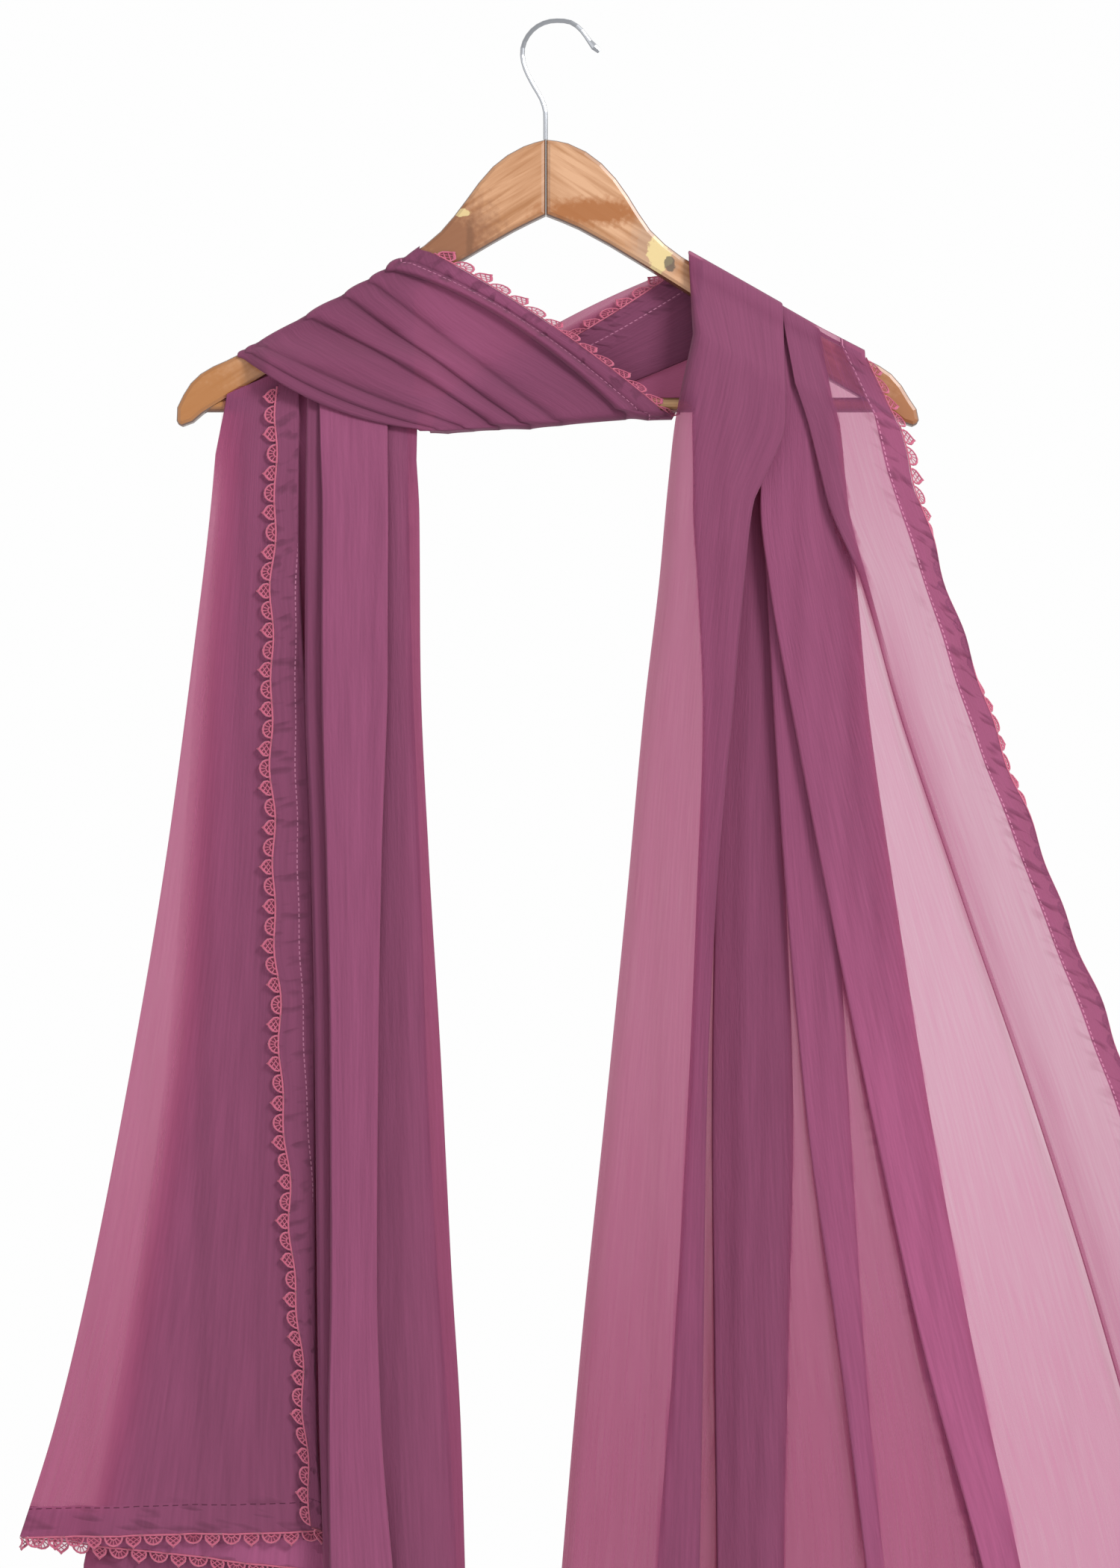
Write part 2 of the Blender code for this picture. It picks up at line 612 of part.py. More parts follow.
def left_wrap():
    ridge_at, foot_at, foot_line, stand = (np.array(values, float) for values in zip(*WRAP))
    stand = stand * WRAP_STAND
    grid = saddle(ridge_at, stand * 0.4, LEFT_RIDGE, 1)
    top = on_table(LEFT_RIDGE, ridge_at)
    edge = on_table(LEFT_FOOT, foot_at)
    foot = height(foot_line)
    for row in WRAP_ROWS:
        columns = ridge_at * (1 - row.share) + foot_at * row.share
        z = top + (edge - top) * row.share
        z = z + (foot - z) * row.to_foot
        depth = row.depth + stand * (1 - row.to_foot)
        grid.append(np.stack([across(columns), depth, z], axis=1))
    return np.array(grid)


# Lace: a strip along a hem whose outer edge runs from leaf to scallop

def lace(name, edge, outward, collection, steps, corner):
    """A strip that leaves the hem points by the outward directions, in steps to a repeat."""
    edge = np.asarray(edge, float)
    outward = np.asarray(outward, float)
    outward = outward / np.linalg.norm(outward, axis=1, keepdims=True)
    lengths = np.concatenate([[0], np.cumsum(np.linalg.norm(np.diff(edge, axis=0), axis=1))])
    repeats = max(1, round(lengths[-1] / LACE_REPEAT))
    even = np.linspace(0, lengths[-1], steps * repeats + 1)
    bend = np.diff(edge, axis=0) / np.diff(lengths)[:, None]
    turns = lengths[1:-1][(bend[1:] * bend[:-1]).sum(axis=1) < corner]
    corners = [place for place in turns if np.abs(even - place).min() > 0.0012]
    places = np.sort(np.concatenate([even, corners]))
    reaches = (LACE_ROOT, LEAF_REACH, LACE_ROOT, SCALLOP_REACH)[:steps]
    reach = np.interp(places, even, np.resize(reaches, len(even)))
    root = np.stack([np.interp(places, lengths, edge[:, axis]) for axis in range(3)], axis=1)
    lean = np.stack([np.interp(places, lengths, outward[:, axis]) for axis in range(3)], axis=1)
    near = root + lean * LACE_SEAM
    far = root + lean * (LACE_SEAM + reach[:, None])
    piece = add_object(name, grid_mesh(name, np.stack([near, far])), collection,
                       material("lace", LACE_COLOUR, 0.6))
    wall = piece.modifiers.new("wall", "SOLIDIFY")
    wall.thickness = LACE_WALL
    wall.offset = 0


def edge_lace(name, grid, column, inner, collection, rows=(0, None), steps=4):
    """Lace along one long edge of a grid, leaving it away from the inner column."""
    part = slice(*rows)
    edge = grid[part, column]
    lace(name, edge, edge - grid[part, inner], collection, steps, SIDE_CORNER)


def end_lace(name, grid, collection):
    """Lace along the last row of a hanging stretch, pointing down."""
    edge = grid[-1]
    lace(name, edge, np.tile((0.0, 0.0, -1.0), (len(edge), 1)), collection, 4, END_CORNER)


def build():
    for old in list(bpy.data.objects):
        bpy.data.objects.remove(old)
    parts = bpy.data.collections.new("dupatta on hanger")
    cutters = bpy.data.collections.new("cutters")
    bpy.context.scene.collection.children.link(parts)
    bpy.context.scene.collection.children.link(cutters)

    wood_half("hanger_left_half", LEFT_HALF, -1, parts, cutters)
    wood_half("hanger_right_half", RIGHT_HALF, 1, parts, cutters)
    trouser_bar(parts)
    hook(parts)

    left, left_hem = hanging_stretch(LEFT_FOLDS, LEFT_LEVELS, LEFT_ROWS, LEFT_START,
                                     LEFT_CLEARANCE, None)
    cloth("left_fall", left, parts, left_hem)
    edge_lace("left_front_lace", left, 0, 1, parts, (1, None))
    edge_lace("left_far_lace", left, -1, -2, parts, (2, None), steps=2)
    end_lace("left_end_lace", left, parts)

    right_folds = with_ridge(RIGHT_FOLDS, RIGHT_RIDGE)
    right, right_hem = hanging_stretch(right_folds, RIGHT_LEVELS, RIGHT_ROWS, RIGHT_START,
                                       RIGHT_CLEARANCE, RIGHT_RIDGE)
    cloth("right_fall", right, parts, right_hem)
    edge_lace("right_front_lace", right, 0, 1, parts, (3, None))
    edge_lace("right_far_lace", right, -1, -2, parts, (6, None), steps=2)
    end_lace("right_end_lace", right, parts)

    front = front_drape()
    cloth("front_drape", front, parts)
    edge_lace("front_lace", front, -1, -2, parts, (4, -4))

    back = back_drape()
    cloth("back_drape", back, parts)
    edge_lace("back_upper_lace", back, 0, 1, parts, (1, -4))
    edge_lace("back_lower_lace", back, -1, -2, parts, (1, -4), steps=2)

    cloth("left_wrap", left_wrap(), parts)


build()
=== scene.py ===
"""The look of a chiffon dupatta with a corded lace edge, wound round a wooden hanger.

Places on the picture plane are photograph columns and lines, as in the part's source. Metres, +Z up,
the front towards -Y, and the origin under the crown of the hook.
"""

import math
from collections import namedtuple

import bpy
import numpy as np
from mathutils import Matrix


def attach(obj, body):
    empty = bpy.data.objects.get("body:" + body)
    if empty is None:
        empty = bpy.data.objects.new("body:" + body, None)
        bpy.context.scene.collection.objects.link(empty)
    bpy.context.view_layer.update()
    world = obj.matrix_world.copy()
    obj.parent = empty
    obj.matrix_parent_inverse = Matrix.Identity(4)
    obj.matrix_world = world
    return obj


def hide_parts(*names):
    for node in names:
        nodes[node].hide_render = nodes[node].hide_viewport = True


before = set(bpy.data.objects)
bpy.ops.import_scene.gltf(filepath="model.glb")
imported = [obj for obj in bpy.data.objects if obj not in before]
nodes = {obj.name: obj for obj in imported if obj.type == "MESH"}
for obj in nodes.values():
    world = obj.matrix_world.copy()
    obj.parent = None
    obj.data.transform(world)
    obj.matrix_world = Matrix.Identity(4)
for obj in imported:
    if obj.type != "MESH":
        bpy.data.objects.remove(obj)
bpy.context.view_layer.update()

# The studio. A pale floor well below the hem and an even white surround, as behind the garment in
# the photograph, with a soft lamp from the upper left and a weaker one from the right.

world = bpy.data.worlds.new("surround")
bpy.context.scene.world = world
world.use_nodes = True
world.node_tree.nodes["Background"].inputs["Color"].default_value = (0.99, 0.99, 0.99, 1)
world.node_tree.nodes["Background"].inputs["Strength"].default_value = 1.0
bpy.context.scene.view_settings.view_transform = "Standard"

bpy.ops.mesh.primitive_plane_add(size=3.6, location=(0, 0, -1.36))
floor = bpy.context.object
floor.name = "floor"
paint = bpy.data.materials.new("pale floor")
paint.use_nodes = True
paint.node_tree.nodes["Principled BSDF"].inputs["Base Color"].default_value = (0.86, 0.86, 0.86, 1)
paint.node_tree.nodes["Principled BSDF"].inputs["Roughness"].default_value = 0.9
floor.data.materials.append(paint)

for name, place, turn, size, power in (
        ("key", (1.5, -1.8, 1.1), (math.radians(56), 0, math.radians(40)), 0.8, 72),
        ("fill", (-1.8, -1.8, -0.3), (math.radians(86), 0, math.radians(-45)), 1.6, 8)):
    lamp = bpy.data.objects.new(name, bpy.data.lights.new(name, "AREA"))
    lamp.data.energy = power
    lamp.data.size = size
    lamp.location = place
    lamp.rotation_euler = turn
    bpy.context.scene.collection.objects.link(lamp)

camera = bpy.data.objects.new("camera", bpy.data.cameras.new("camera"))
camera.data.lens = 85
camera.data.sensor_fit = "VERTICAL"
camera.data.sensor_height = 36
camera.location = (0.0067, -2.23, -0.4593)
camera.rotation_euler = (math.pi / 2, 0, 0)
bpy.context.scene.collection.objects.link(camera)
bpy.context.scene.camera = camera

# The hanger. Two mitred halves and a trouser bar of pale varnished wood with a slanting grain, old
# stains and a chip in the varnish, painted shade on the rims and a painted shadow of the front drape
# on the left arm, and a hook of plated wire. The solids themselves are dressed.


Mark = namedtuple("Mark", "centre reach stain strength softness")
CHIP = (0.5, 0.39, 0.18, 1)
STAINS_AND_SHADE = (
    Mark((0.027, 0, -0.1155), (0.033, 1, 0.008), (0.24, 0.075, 0.01, 1), 0.95, 0.6),
    # Painted shadow of the front drape on the left arm, beside its laced edge.
    Mark((-0.06, 0, -0.134), (0.028, 1, 0.026), (0.17, 0.06, 0.02, 1), 0.95, 0.9),
    Mark((-0.0475, 0, -0.1325), (0.0022, 1, 0.013), (0.12, 0.042, 0.012, 1), 0.7, 0.7),
    Mark((0.064, 0, -0.137), (0.014, 1, 0.02), (0.3, 0.2, 0.14, 1), 0.5, 0.6),
    Mark((0.0665, 0, -0.1415), (0.0075, 1, 0.0115), CHIP, 0.95, 0.12),
    Mark((0.0725, 0, -0.147), (0.0035, 1, 0.005), (0.05, 0.04, 0.03, 1), 0.8, 0.15),
    Mark((-0.052, 0, -0.116), (0.0055, 1, 0.0024), CHIP, 0.85, 0.2),
    Mark((0.22, 0, -0.24), (0.044, 1, 0.044), (0.25, 0.09, 0.024, 1), 0.95, 1.0),
    Mark((-0.214, 0, -0.235), (0.05, 1, 0.045), (0.28, 0.105, 0.02, 1), 0.9, 1.0),
)
# The colour of the painted shade on the rims.
RIM_SHADE = (0.09, 0.03, 0.01, 1)


def ramp(tree, value, start, stop, low=0.0, high=1.0):
    """The value carried from low at the start to high at the stop, and level beyond them."""
    scale = tree.nodes.new("ShaderNodeMapRange")
    scale.inputs["From Min"].default_value = start
    scale.inputs["From Max"].default_value = stop
    scale.inputs["To Min"].default_value = low
    scale.inputs["To Max"].default_value = high
    tree.links.new(value, scale.inputs["Value"])
    return scale


def laid_over(tree, under, amount, stain):
    """The colour under it, going over to the overlay colour by the amount."""
    mix = tree.nodes.new("ShaderNodeMix")
    mix.data_type = "RGBA"
    mix.inputs[7].default_value = stain
    tree.links.new(amount, mix.inputs[0])
    tree.links.new(under, mix.inputs[6])
    return mix.outputs[2]


def wood(name, slope, pale, deep):
    """Streaks of two tones along an arm of that slope, under old marks, a painted shadow of the front
    drape and painted shade on the rims, which darken on faces turned away from the front. A mark fades
    out by the length of (place - centre) / reach, made ragged by a noise."""
    finish = bpy.data.materials.new(name)
    finish.use_nodes = True
    tree = finish.node_tree
    shader = tree.nodes["Principled BSDF"]
    place = tree.nodes.new("ShaderNodeTexCoord")
    turned = tree.nodes.new("ShaderNodeMapping")
    turned.inputs["Rotation"].default_value = (0, slope, 0)
    tree.links.new(place.outputs["Object"], turned.inputs["Vector"])
    stretched = tree.nodes.new("ShaderNodeMapping")
    stretched.inputs["Scale"].default_value = (14, 60, 200)
    tree.links.new(turned.outputs["Vector"], stretched.inputs["Vector"])
    grain = tree.nodes.new("ShaderNodeTexNoise")
    grain.inputs["Scale"].default_value = 1.6
    grain.inputs["Detail"].default_value = 6
    grain.inputs["Distortion"].default_value = 0.4
    tree.links.new(stretched.outputs["Vector"], grain.inputs["Vector"])
    tones = tree.nodes.new("ShaderNodeValToRGB")
    tones.color_ramp.elements[0].position = 0.32
    tones.color_ramp.elements[0].color = deep
    tones.color_ramp.elements[1].position = 0.66
    tones.color_ramp.elements[1].color = pale
    tree.links.new(grain.outputs["Fac"], tones.inputs["Fac"])
    colour = tones.outputs["Color"]
    ragged = tree.nodes.new("ShaderNodeTexNoise")
    ragged.inputs["Scale"].default_value = 300
    ragged.inputs["Detail"].default_value = 5
    tree.links.new(place.outputs["Object"], ragged.inputs["Vector"])
    for mark in STAINS_AND_SHADE:
        spot = tree.nodes.new("ShaderNodeMapping")
        spot.vector_type = "POINT"
        spot.inputs["Location"].default_value = tuple(-c / r for c, r in zip(mark.centre, mark.reach))
        spot.inputs["Scale"].default_value = tuple(1 / r for r in mark.reach)
        tree.links.new(place.outputs["Object"], spot.inputs["Vector"])
        length = tree.nodes.new("ShaderNodeVectorMath")
        length.operation = "LENGTH"
        tree.links.new(spot.outputs["Vector"], length.inputs[0])
        rough_edge = tree.nodes.new("ShaderNodeMath")
        rough_edge.operation = "MULTIPLY_ADD"
        rough_edge.inputs[1].default_value = 1.1
        tree.links.new(ragged.outputs["Fac"], rough_edge.inputs[0])
        tree.links.new(length.outputs["Value"], rough_edge.inputs[2])
        fade = ramp(tree, rough_edge.outputs["Value"], 1.5 - mark.softness / 2, 1.5 + mark.softness / 2,
                    mark.strength, 0.0)
        colour = laid_over(tree, colour, fade.outputs["Result"], mark.stain)
    # Painted shade: the wood is darkened on faces turned away from the front, along the top and bottom rims.
    facing = tree.nodes.new("ShaderNodeNewGeometry")
    parts = tree.nodes.new("ShaderNodeSeparateXYZ")
    tree.links.new(facing.outputs["Normal"], parts.inputs["Vector"])
    flatness = tree.nodes.new("ShaderNodeMath")
    flatness.operation = "ABSOLUTE"
    tree.links.new(parts.outputs["Y"], flatness.inputs[0])
    rim = ramp(tree, flatness.outputs["Value"], 0.6, 0.995, 1.0, 0.0)
    colour = laid_over(tree, colour, rim.outputs["Result"], RIM_SHADE)
    tree.links.new(colour, shader.inputs["Base Color"])
    shader.inputs["Roughness"].default_value = 0.38
    shader.inputs["Coat Weight"].default_value = 0.25
    shader.inputs["Coat Roughness"].default_value = 0.3
    bump = tree.nodes.new("ShaderNodeBump")
    bump.inputs["Strength"].default_value = 0.12
    bump.inputs["Distance"].default_value = 0.0004
    tree.links.new(grain.outputs["Fac"], bump.inputs["Height"])
    tree.links.new(bump.outputs["Normal"], shader.inputs["Normal"])
    return finish


def dress(name, finish):
    """The CAD node takes the finish and keeps its shape."""
    nodes[name].data.materials.clear()
    nodes[name].data.materials.append(finish)


dress("hanger_left_half", wood("left arm wood", 0.56, (0.41, 0.215, 0.11, 1), (0.26, 0.105, 0.033, 1)))
dress("hanger_right_half", wood("right arm wood", -0.56, (0.44, 0.245, 0.135, 1), (0.27, 0.115, 0.04, 1)))
dress("hanger_bar", wood("bar wood", 0.0, (0.5, 0.3, 0.13, 1), (0.36, 0.18, 0.06, 1)))
plating = bpy.data.materials.new("plated wire")
plating.use_nodes = True
plating.node_tree.nodes["Principled BSDF"].inputs["Base Color"].default_value = (0.3, 0.31, 0.33, 1)
plating.node_tree.nodes["Principled BSDF"].inputs["Metallic"].default_value = 1.0
plating.node_tree.nodes["Principled BSDF"].inputs["Roughness"].default_value = 0.22
dress("hanger_hook", plating)

# The chiffon. Sheer crepe: part of each thread's shadow is dyed mauve pink and part is open weave,
# so that it deepens with every layer. Hems are thicker, with a running stitch, pale along
# the sides and dark along the ends.

SIDE_HEM = 0.015
END_HEM = 0.019
COVER = 0.45
OPEN_TINT = (0.915, 0.613, 0.693)
THREAD_TINT = (0.27, 0.085, 0.19)
DEEP_TINT = (0.235, 0.061, 0.132)
SIDE_STITCH = 0.0136
END_STITCH = 0.0176
STITCH_HALF_WIDTH = 0.00035
STITCHES_PER_METRE = 300.0
STITCH_SHARE = 0.6


def chiffon(name):
    """Thread share 1-(1-cover)^n over a tinted gap colour^n, for n plies of cloth."""
    finish = bpy.data.materials.new(name)
    finish.use_nodes = True
    tree = finish.node_tree
    tree.nodes.clear()

    def math_node(kind, first, second, third=None):
        node = tree.nodes.new("ShaderNodeMath")
        node.operation = kind
        for socket, value in zip(node.inputs, (first, second, third)):
            if isinstance(value, (int, float)):
                socket.default_value = value
            elif value is not None:
                tree.links.new(value, socket)
        return node.outputs["Value"]

    def attribute(label):
        node = tree.nodes.new("ShaderNodeAttribute")
        node.attribute_name = label
        return node.outputs["Fac"]

    edge = attribute("edge")
    end = attribute("end")
    side_hem = math_node("LESS_THAN", edge, SIDE_HEM)
    end_hem = math_node("LESS_THAN", end, END_HEM)
    hem = math_node("MAXIMUM", side_hem, end_hem)

    along = attribute("along")
    width = attribute("across")

    def noise(wide, long, detail, lean=0.0):
        """Noise that is stretched along the cloth: wide and long are its turns to a metre."""
        spot = tree.nodes.new("ShaderNodeCombineXYZ")
        tree.links.new(math_node("MULTIPLY", math_node("MULTIPLY_ADD", along, lean, width), wide),
                       spot.inputs["X"])
        tree.links.new(math_node("MULTIPLY", along, long), spot.inputs["Y"])
        texture = tree.nodes.new("ShaderNodeTexNoise")
        texture.inputs["Scale"].default_value = 1.0
        texture.inputs["Detail"].default_value = detail
        tree.links.new(spot.outputs["Vector"], texture.inputs["Vector"])
        return texture.outputs["Fac"]

    streak = noise(620, 18, 3)
    crinkle = noise(800, 150, 2)
    pucker = ramp(tree, noise(85, 120, 1, 0.9), 0.54, 0.7)
    sewn_zone = ramp(tree, math_node("MINIMUM", edge, end), 0.012, 0.028, 1.0, 0.0)
    sewn_zone.interpolation_type = "SMOOTHSTEP"
    pucker = math_node("MULTIPLY", pucker.outputs["Result"], sewn_zone.outputs["Result"])
    count = math_node("MULTIPLY_ADD", hem, 2.5, attribute("plies"))
    weave = math_node("MULTIPLY_ADD", streak, 0.5, 0.75)
    count = math_node("MULTIPLY", count, math_node("MULTIPLY_ADD", pucker, 0.3, weave))
    cover = math_node("SUBTRACT", 1.0, math_node("POWER", 1.0 - COVER, count))
    tint = tree.nodes.new("ShaderNodeCombineXYZ")
    for socket, value in zip(tint.inputs, OPEN_TINT):
        tree.links.new(math_node("POWER", value, count), socket)
    gap = tree.nodes.new("ShaderNodeBsdfTransparent")
    tree.links.new(tint.outputs["Vector"], gap.inputs["Color"])

    def running_stitch(from_hem, place, way):
        """1 on the dashes of a sewn line at that place, walked along the way, and 0 elsewhere."""
        off_line = math_node("ABSOLUTE", math_node("SUBTRACT", from_hem, place), 0)
        in_stitch = math_node("FRACT", math_node("MULTIPLY", way, STITCHES_PER_METRE), 0)
        return math_node("MULTIPLY", math_node("LESS_THAN", off_line, STITCH_HALF_WIDTH),
                         math_node("LESS_THAN", in_stitch, STITCH_SHARE))

    dyed = tree.nodes.new("ShaderNodeMix")
    dyed.data_type = "RGBA"
    dyed.inputs[6].default_value = (*THREAD_TINT, 1)
    dyed.inputs[7].default_value = (*DEEP_TINT, 1)
    tree.links.new(cover, dyed.inputs[0])
    # The attribute read here is painted light and shade; the streaks vary it with the crepe's grain.
    tone = math_node("MULTIPLY", attribute("tone"), math_node("MULTIPLY_ADD", streak, 0.4, 0.8))
    # Painted shade in the puckers near the hems.
    tone = math_node("MULTIPLY", tone, math_node("MULTIPLY_ADD", pucker, -0.26, 1.0))
    toned = tree.nodes.new("ShaderNodeVectorMath")
    toned.operation = "SCALE"
    tree.links.new(dyed.outputs[2], toned.inputs[0])
    tree.links.new(tone, toned.inputs["Scale"])
    colour = toned.outputs["Vector"]
    colour = laid_over(tree, colour, running_stitch(edge, SIDE_STITCH, along), (0.5, 0.2, 0.32, 1))
    colour = laid_over(tree, colour, running_stitch(end, END_STITCH, width), (0.11, 0.025, 0.06, 1))

    relief = math_node("MULTIPLY_ADD", pucker, -3.0, crinkle)
    bump = tree.nodes.new("ShaderNodeBump")
    bump.inputs["Strength"].default_value = 0.5
    bump.inputs["Distance"].default_value = 0.0006
    tree.links.new(relief, bump.inputs["Height"])
    front = tree.nodes.new("ShaderNodeBsdfPrincipled")
    tree.links.new(colour, front.inputs["Base Color"])
    front.inputs["Roughness"].default_value = 0.75
    front.inputs["Specular IOR Level"].default_value = 0.2
    front.inputs["Sheen Weight"].default_value = 0.12
    front.inputs["Sheen Roughness"].default_value = 0.5
    tree.links.new(bump.outputs["Normal"], front.inputs["Normal"])
    through = tree.nodes.new("ShaderNodeBsdfTranslucent")
    tree.links.new(colour, through.inputs["Color"])
    tree.links.new(bump.outputs["Normal"], through.inputs["Normal"])
    body = tree.nodes.new("ShaderNodeMixShader")
    body.inputs["Fac"].default_value = 0.4
    tree.links.new(front.outputs["BSDF"], body.inputs[1])
    tree.links.new(through.outputs["BSDF"], body.inputs[2])
    whole = tree.nodes.new("ShaderNodeMixShader")
    tree.links.new(cover, whole.inputs["Fac"])
    tree.links.new(gap.outputs["BSDF"], whole.inputs[1])
    tree.links.new(body.outputs["Shader"], whole.inputs[2])
    output = tree.nodes.new("ShaderNodeOutputMaterial")
    tree.links.new(whole.outputs["Shader"], output.inputs["Surface"])
    return finish


crepe = chiffon("chiffon")

# The hanging stretches. One sheet each, walked from fold line to fold line and laid back and forth
# in the depths that its solid has, with small loose ripples of its own on every layer.

PIXEL = 0.445 / 992
HOLD_COLUMN = 735
HOLD_LINE = 27
PITCH_NEAR = 0.0017
PITCH_LOW = 0.0027
PITCH_HEM = 0.0034
TURN_REACH = 0.009
TURN_ANGLES = (-62, -31, 0, 31, 62)
NO_HEM = 9.0
# A fold's tones are painted light and shade on the layer from it to the next fold: above 1 the layer is
# lightened, below 1 darkened.
Fold = namedtuple("Fold", "name top_column top_line hem_line top_depth start_column ranks tones columns")


def across(column):
    """X of a photograph column."""
    return (np.asarray(column, float) - HOLD_COLUMN) * PIXEL


def height(line):
    """Z of a photograph line."""
    return (HOLD_LINE - np.asarray(line, float)) * PIXEL


def smooth(value):
    """0 to 1 with a soft start and end: 3v^2 - 2v^3."""
    value = np.clip(value, 0.0, 1.0)
    return value * value * (3.0 - 2.0 * value)


def curve_through(knots, values, at):
    """A cubic through the knots that never overshoots: each slope is 2ab/(a+b) of the chords a and b."""
    knots = np.asarray(knots, float)
    values = np.asarray(values, float)
    chords = np.diff(values) / np.diff(knots)
    before, after = chords[:-1], chords[1:]
    agree = before * after > 0
    inner = np.where(agree, 2 * before * after / np.where(agree, before + after, 1.0), 0.0)
    slopes = np.concatenate([chords[:1], inner, chords[-1:]])
    at = np.clip(at, knots[0], knots[-1])
    first = np.clip(np.searchsorted(knots, at, side="right") - 1, 0, len(knots) - 2)
    span = knots[first + 1] - knots[first]
    t = (at - knots[first]) / span
    return ((1 + 2 * t) * (1 - t) ** 2 * values[first] + t * (1 - t) ** 2 * span * slopes[first]
            + t * t * (3 - 2 * t) * values[first + 1] + t * t * (t - 1) * span * slopes[first + 1])


def sheet_object(name, points, edge, end, along, width, plies, tone):
    """A sheet through rows by columns of points. It carries its distances from the hems, how many
    plies it stands for, and its painted light and shade, lower in a shaded valley and higher where
    the cloth is lightened."""
    rows, columns = points.shape[:2]
    index = np.arange(rows * columns).reshape(rows, columns)
    quads = np.stack((index[:-1, :-1], index[1:, :-1], index[1:, 1:], index[:-1, 1:]), -1).reshape(-1, 4)
    mesh = bpy.data.meshes.new(name)
    mesh.from_pydata(points.reshape(-1, 3), [], quads)
    for label, values in (("edge", edge), ("end", end), ("along", along), ("across", width),
                          ("plies", plies), ("tone", tone)):
        layer = mesh.attributes.new(label, "FLOAT", "POINT")
        layer.data.foreach_set("value", np.ascontiguousarray(values, dtype=np.float32).reshape(-1))
    mesh.shade_smooth()
    mesh.materials.append(crepe)
    sheet = bpy.data.objects.new(name, mesh)
    bpy.context.scene.collection.objects.link(sheet)
    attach(sheet, "root")
    return sheet


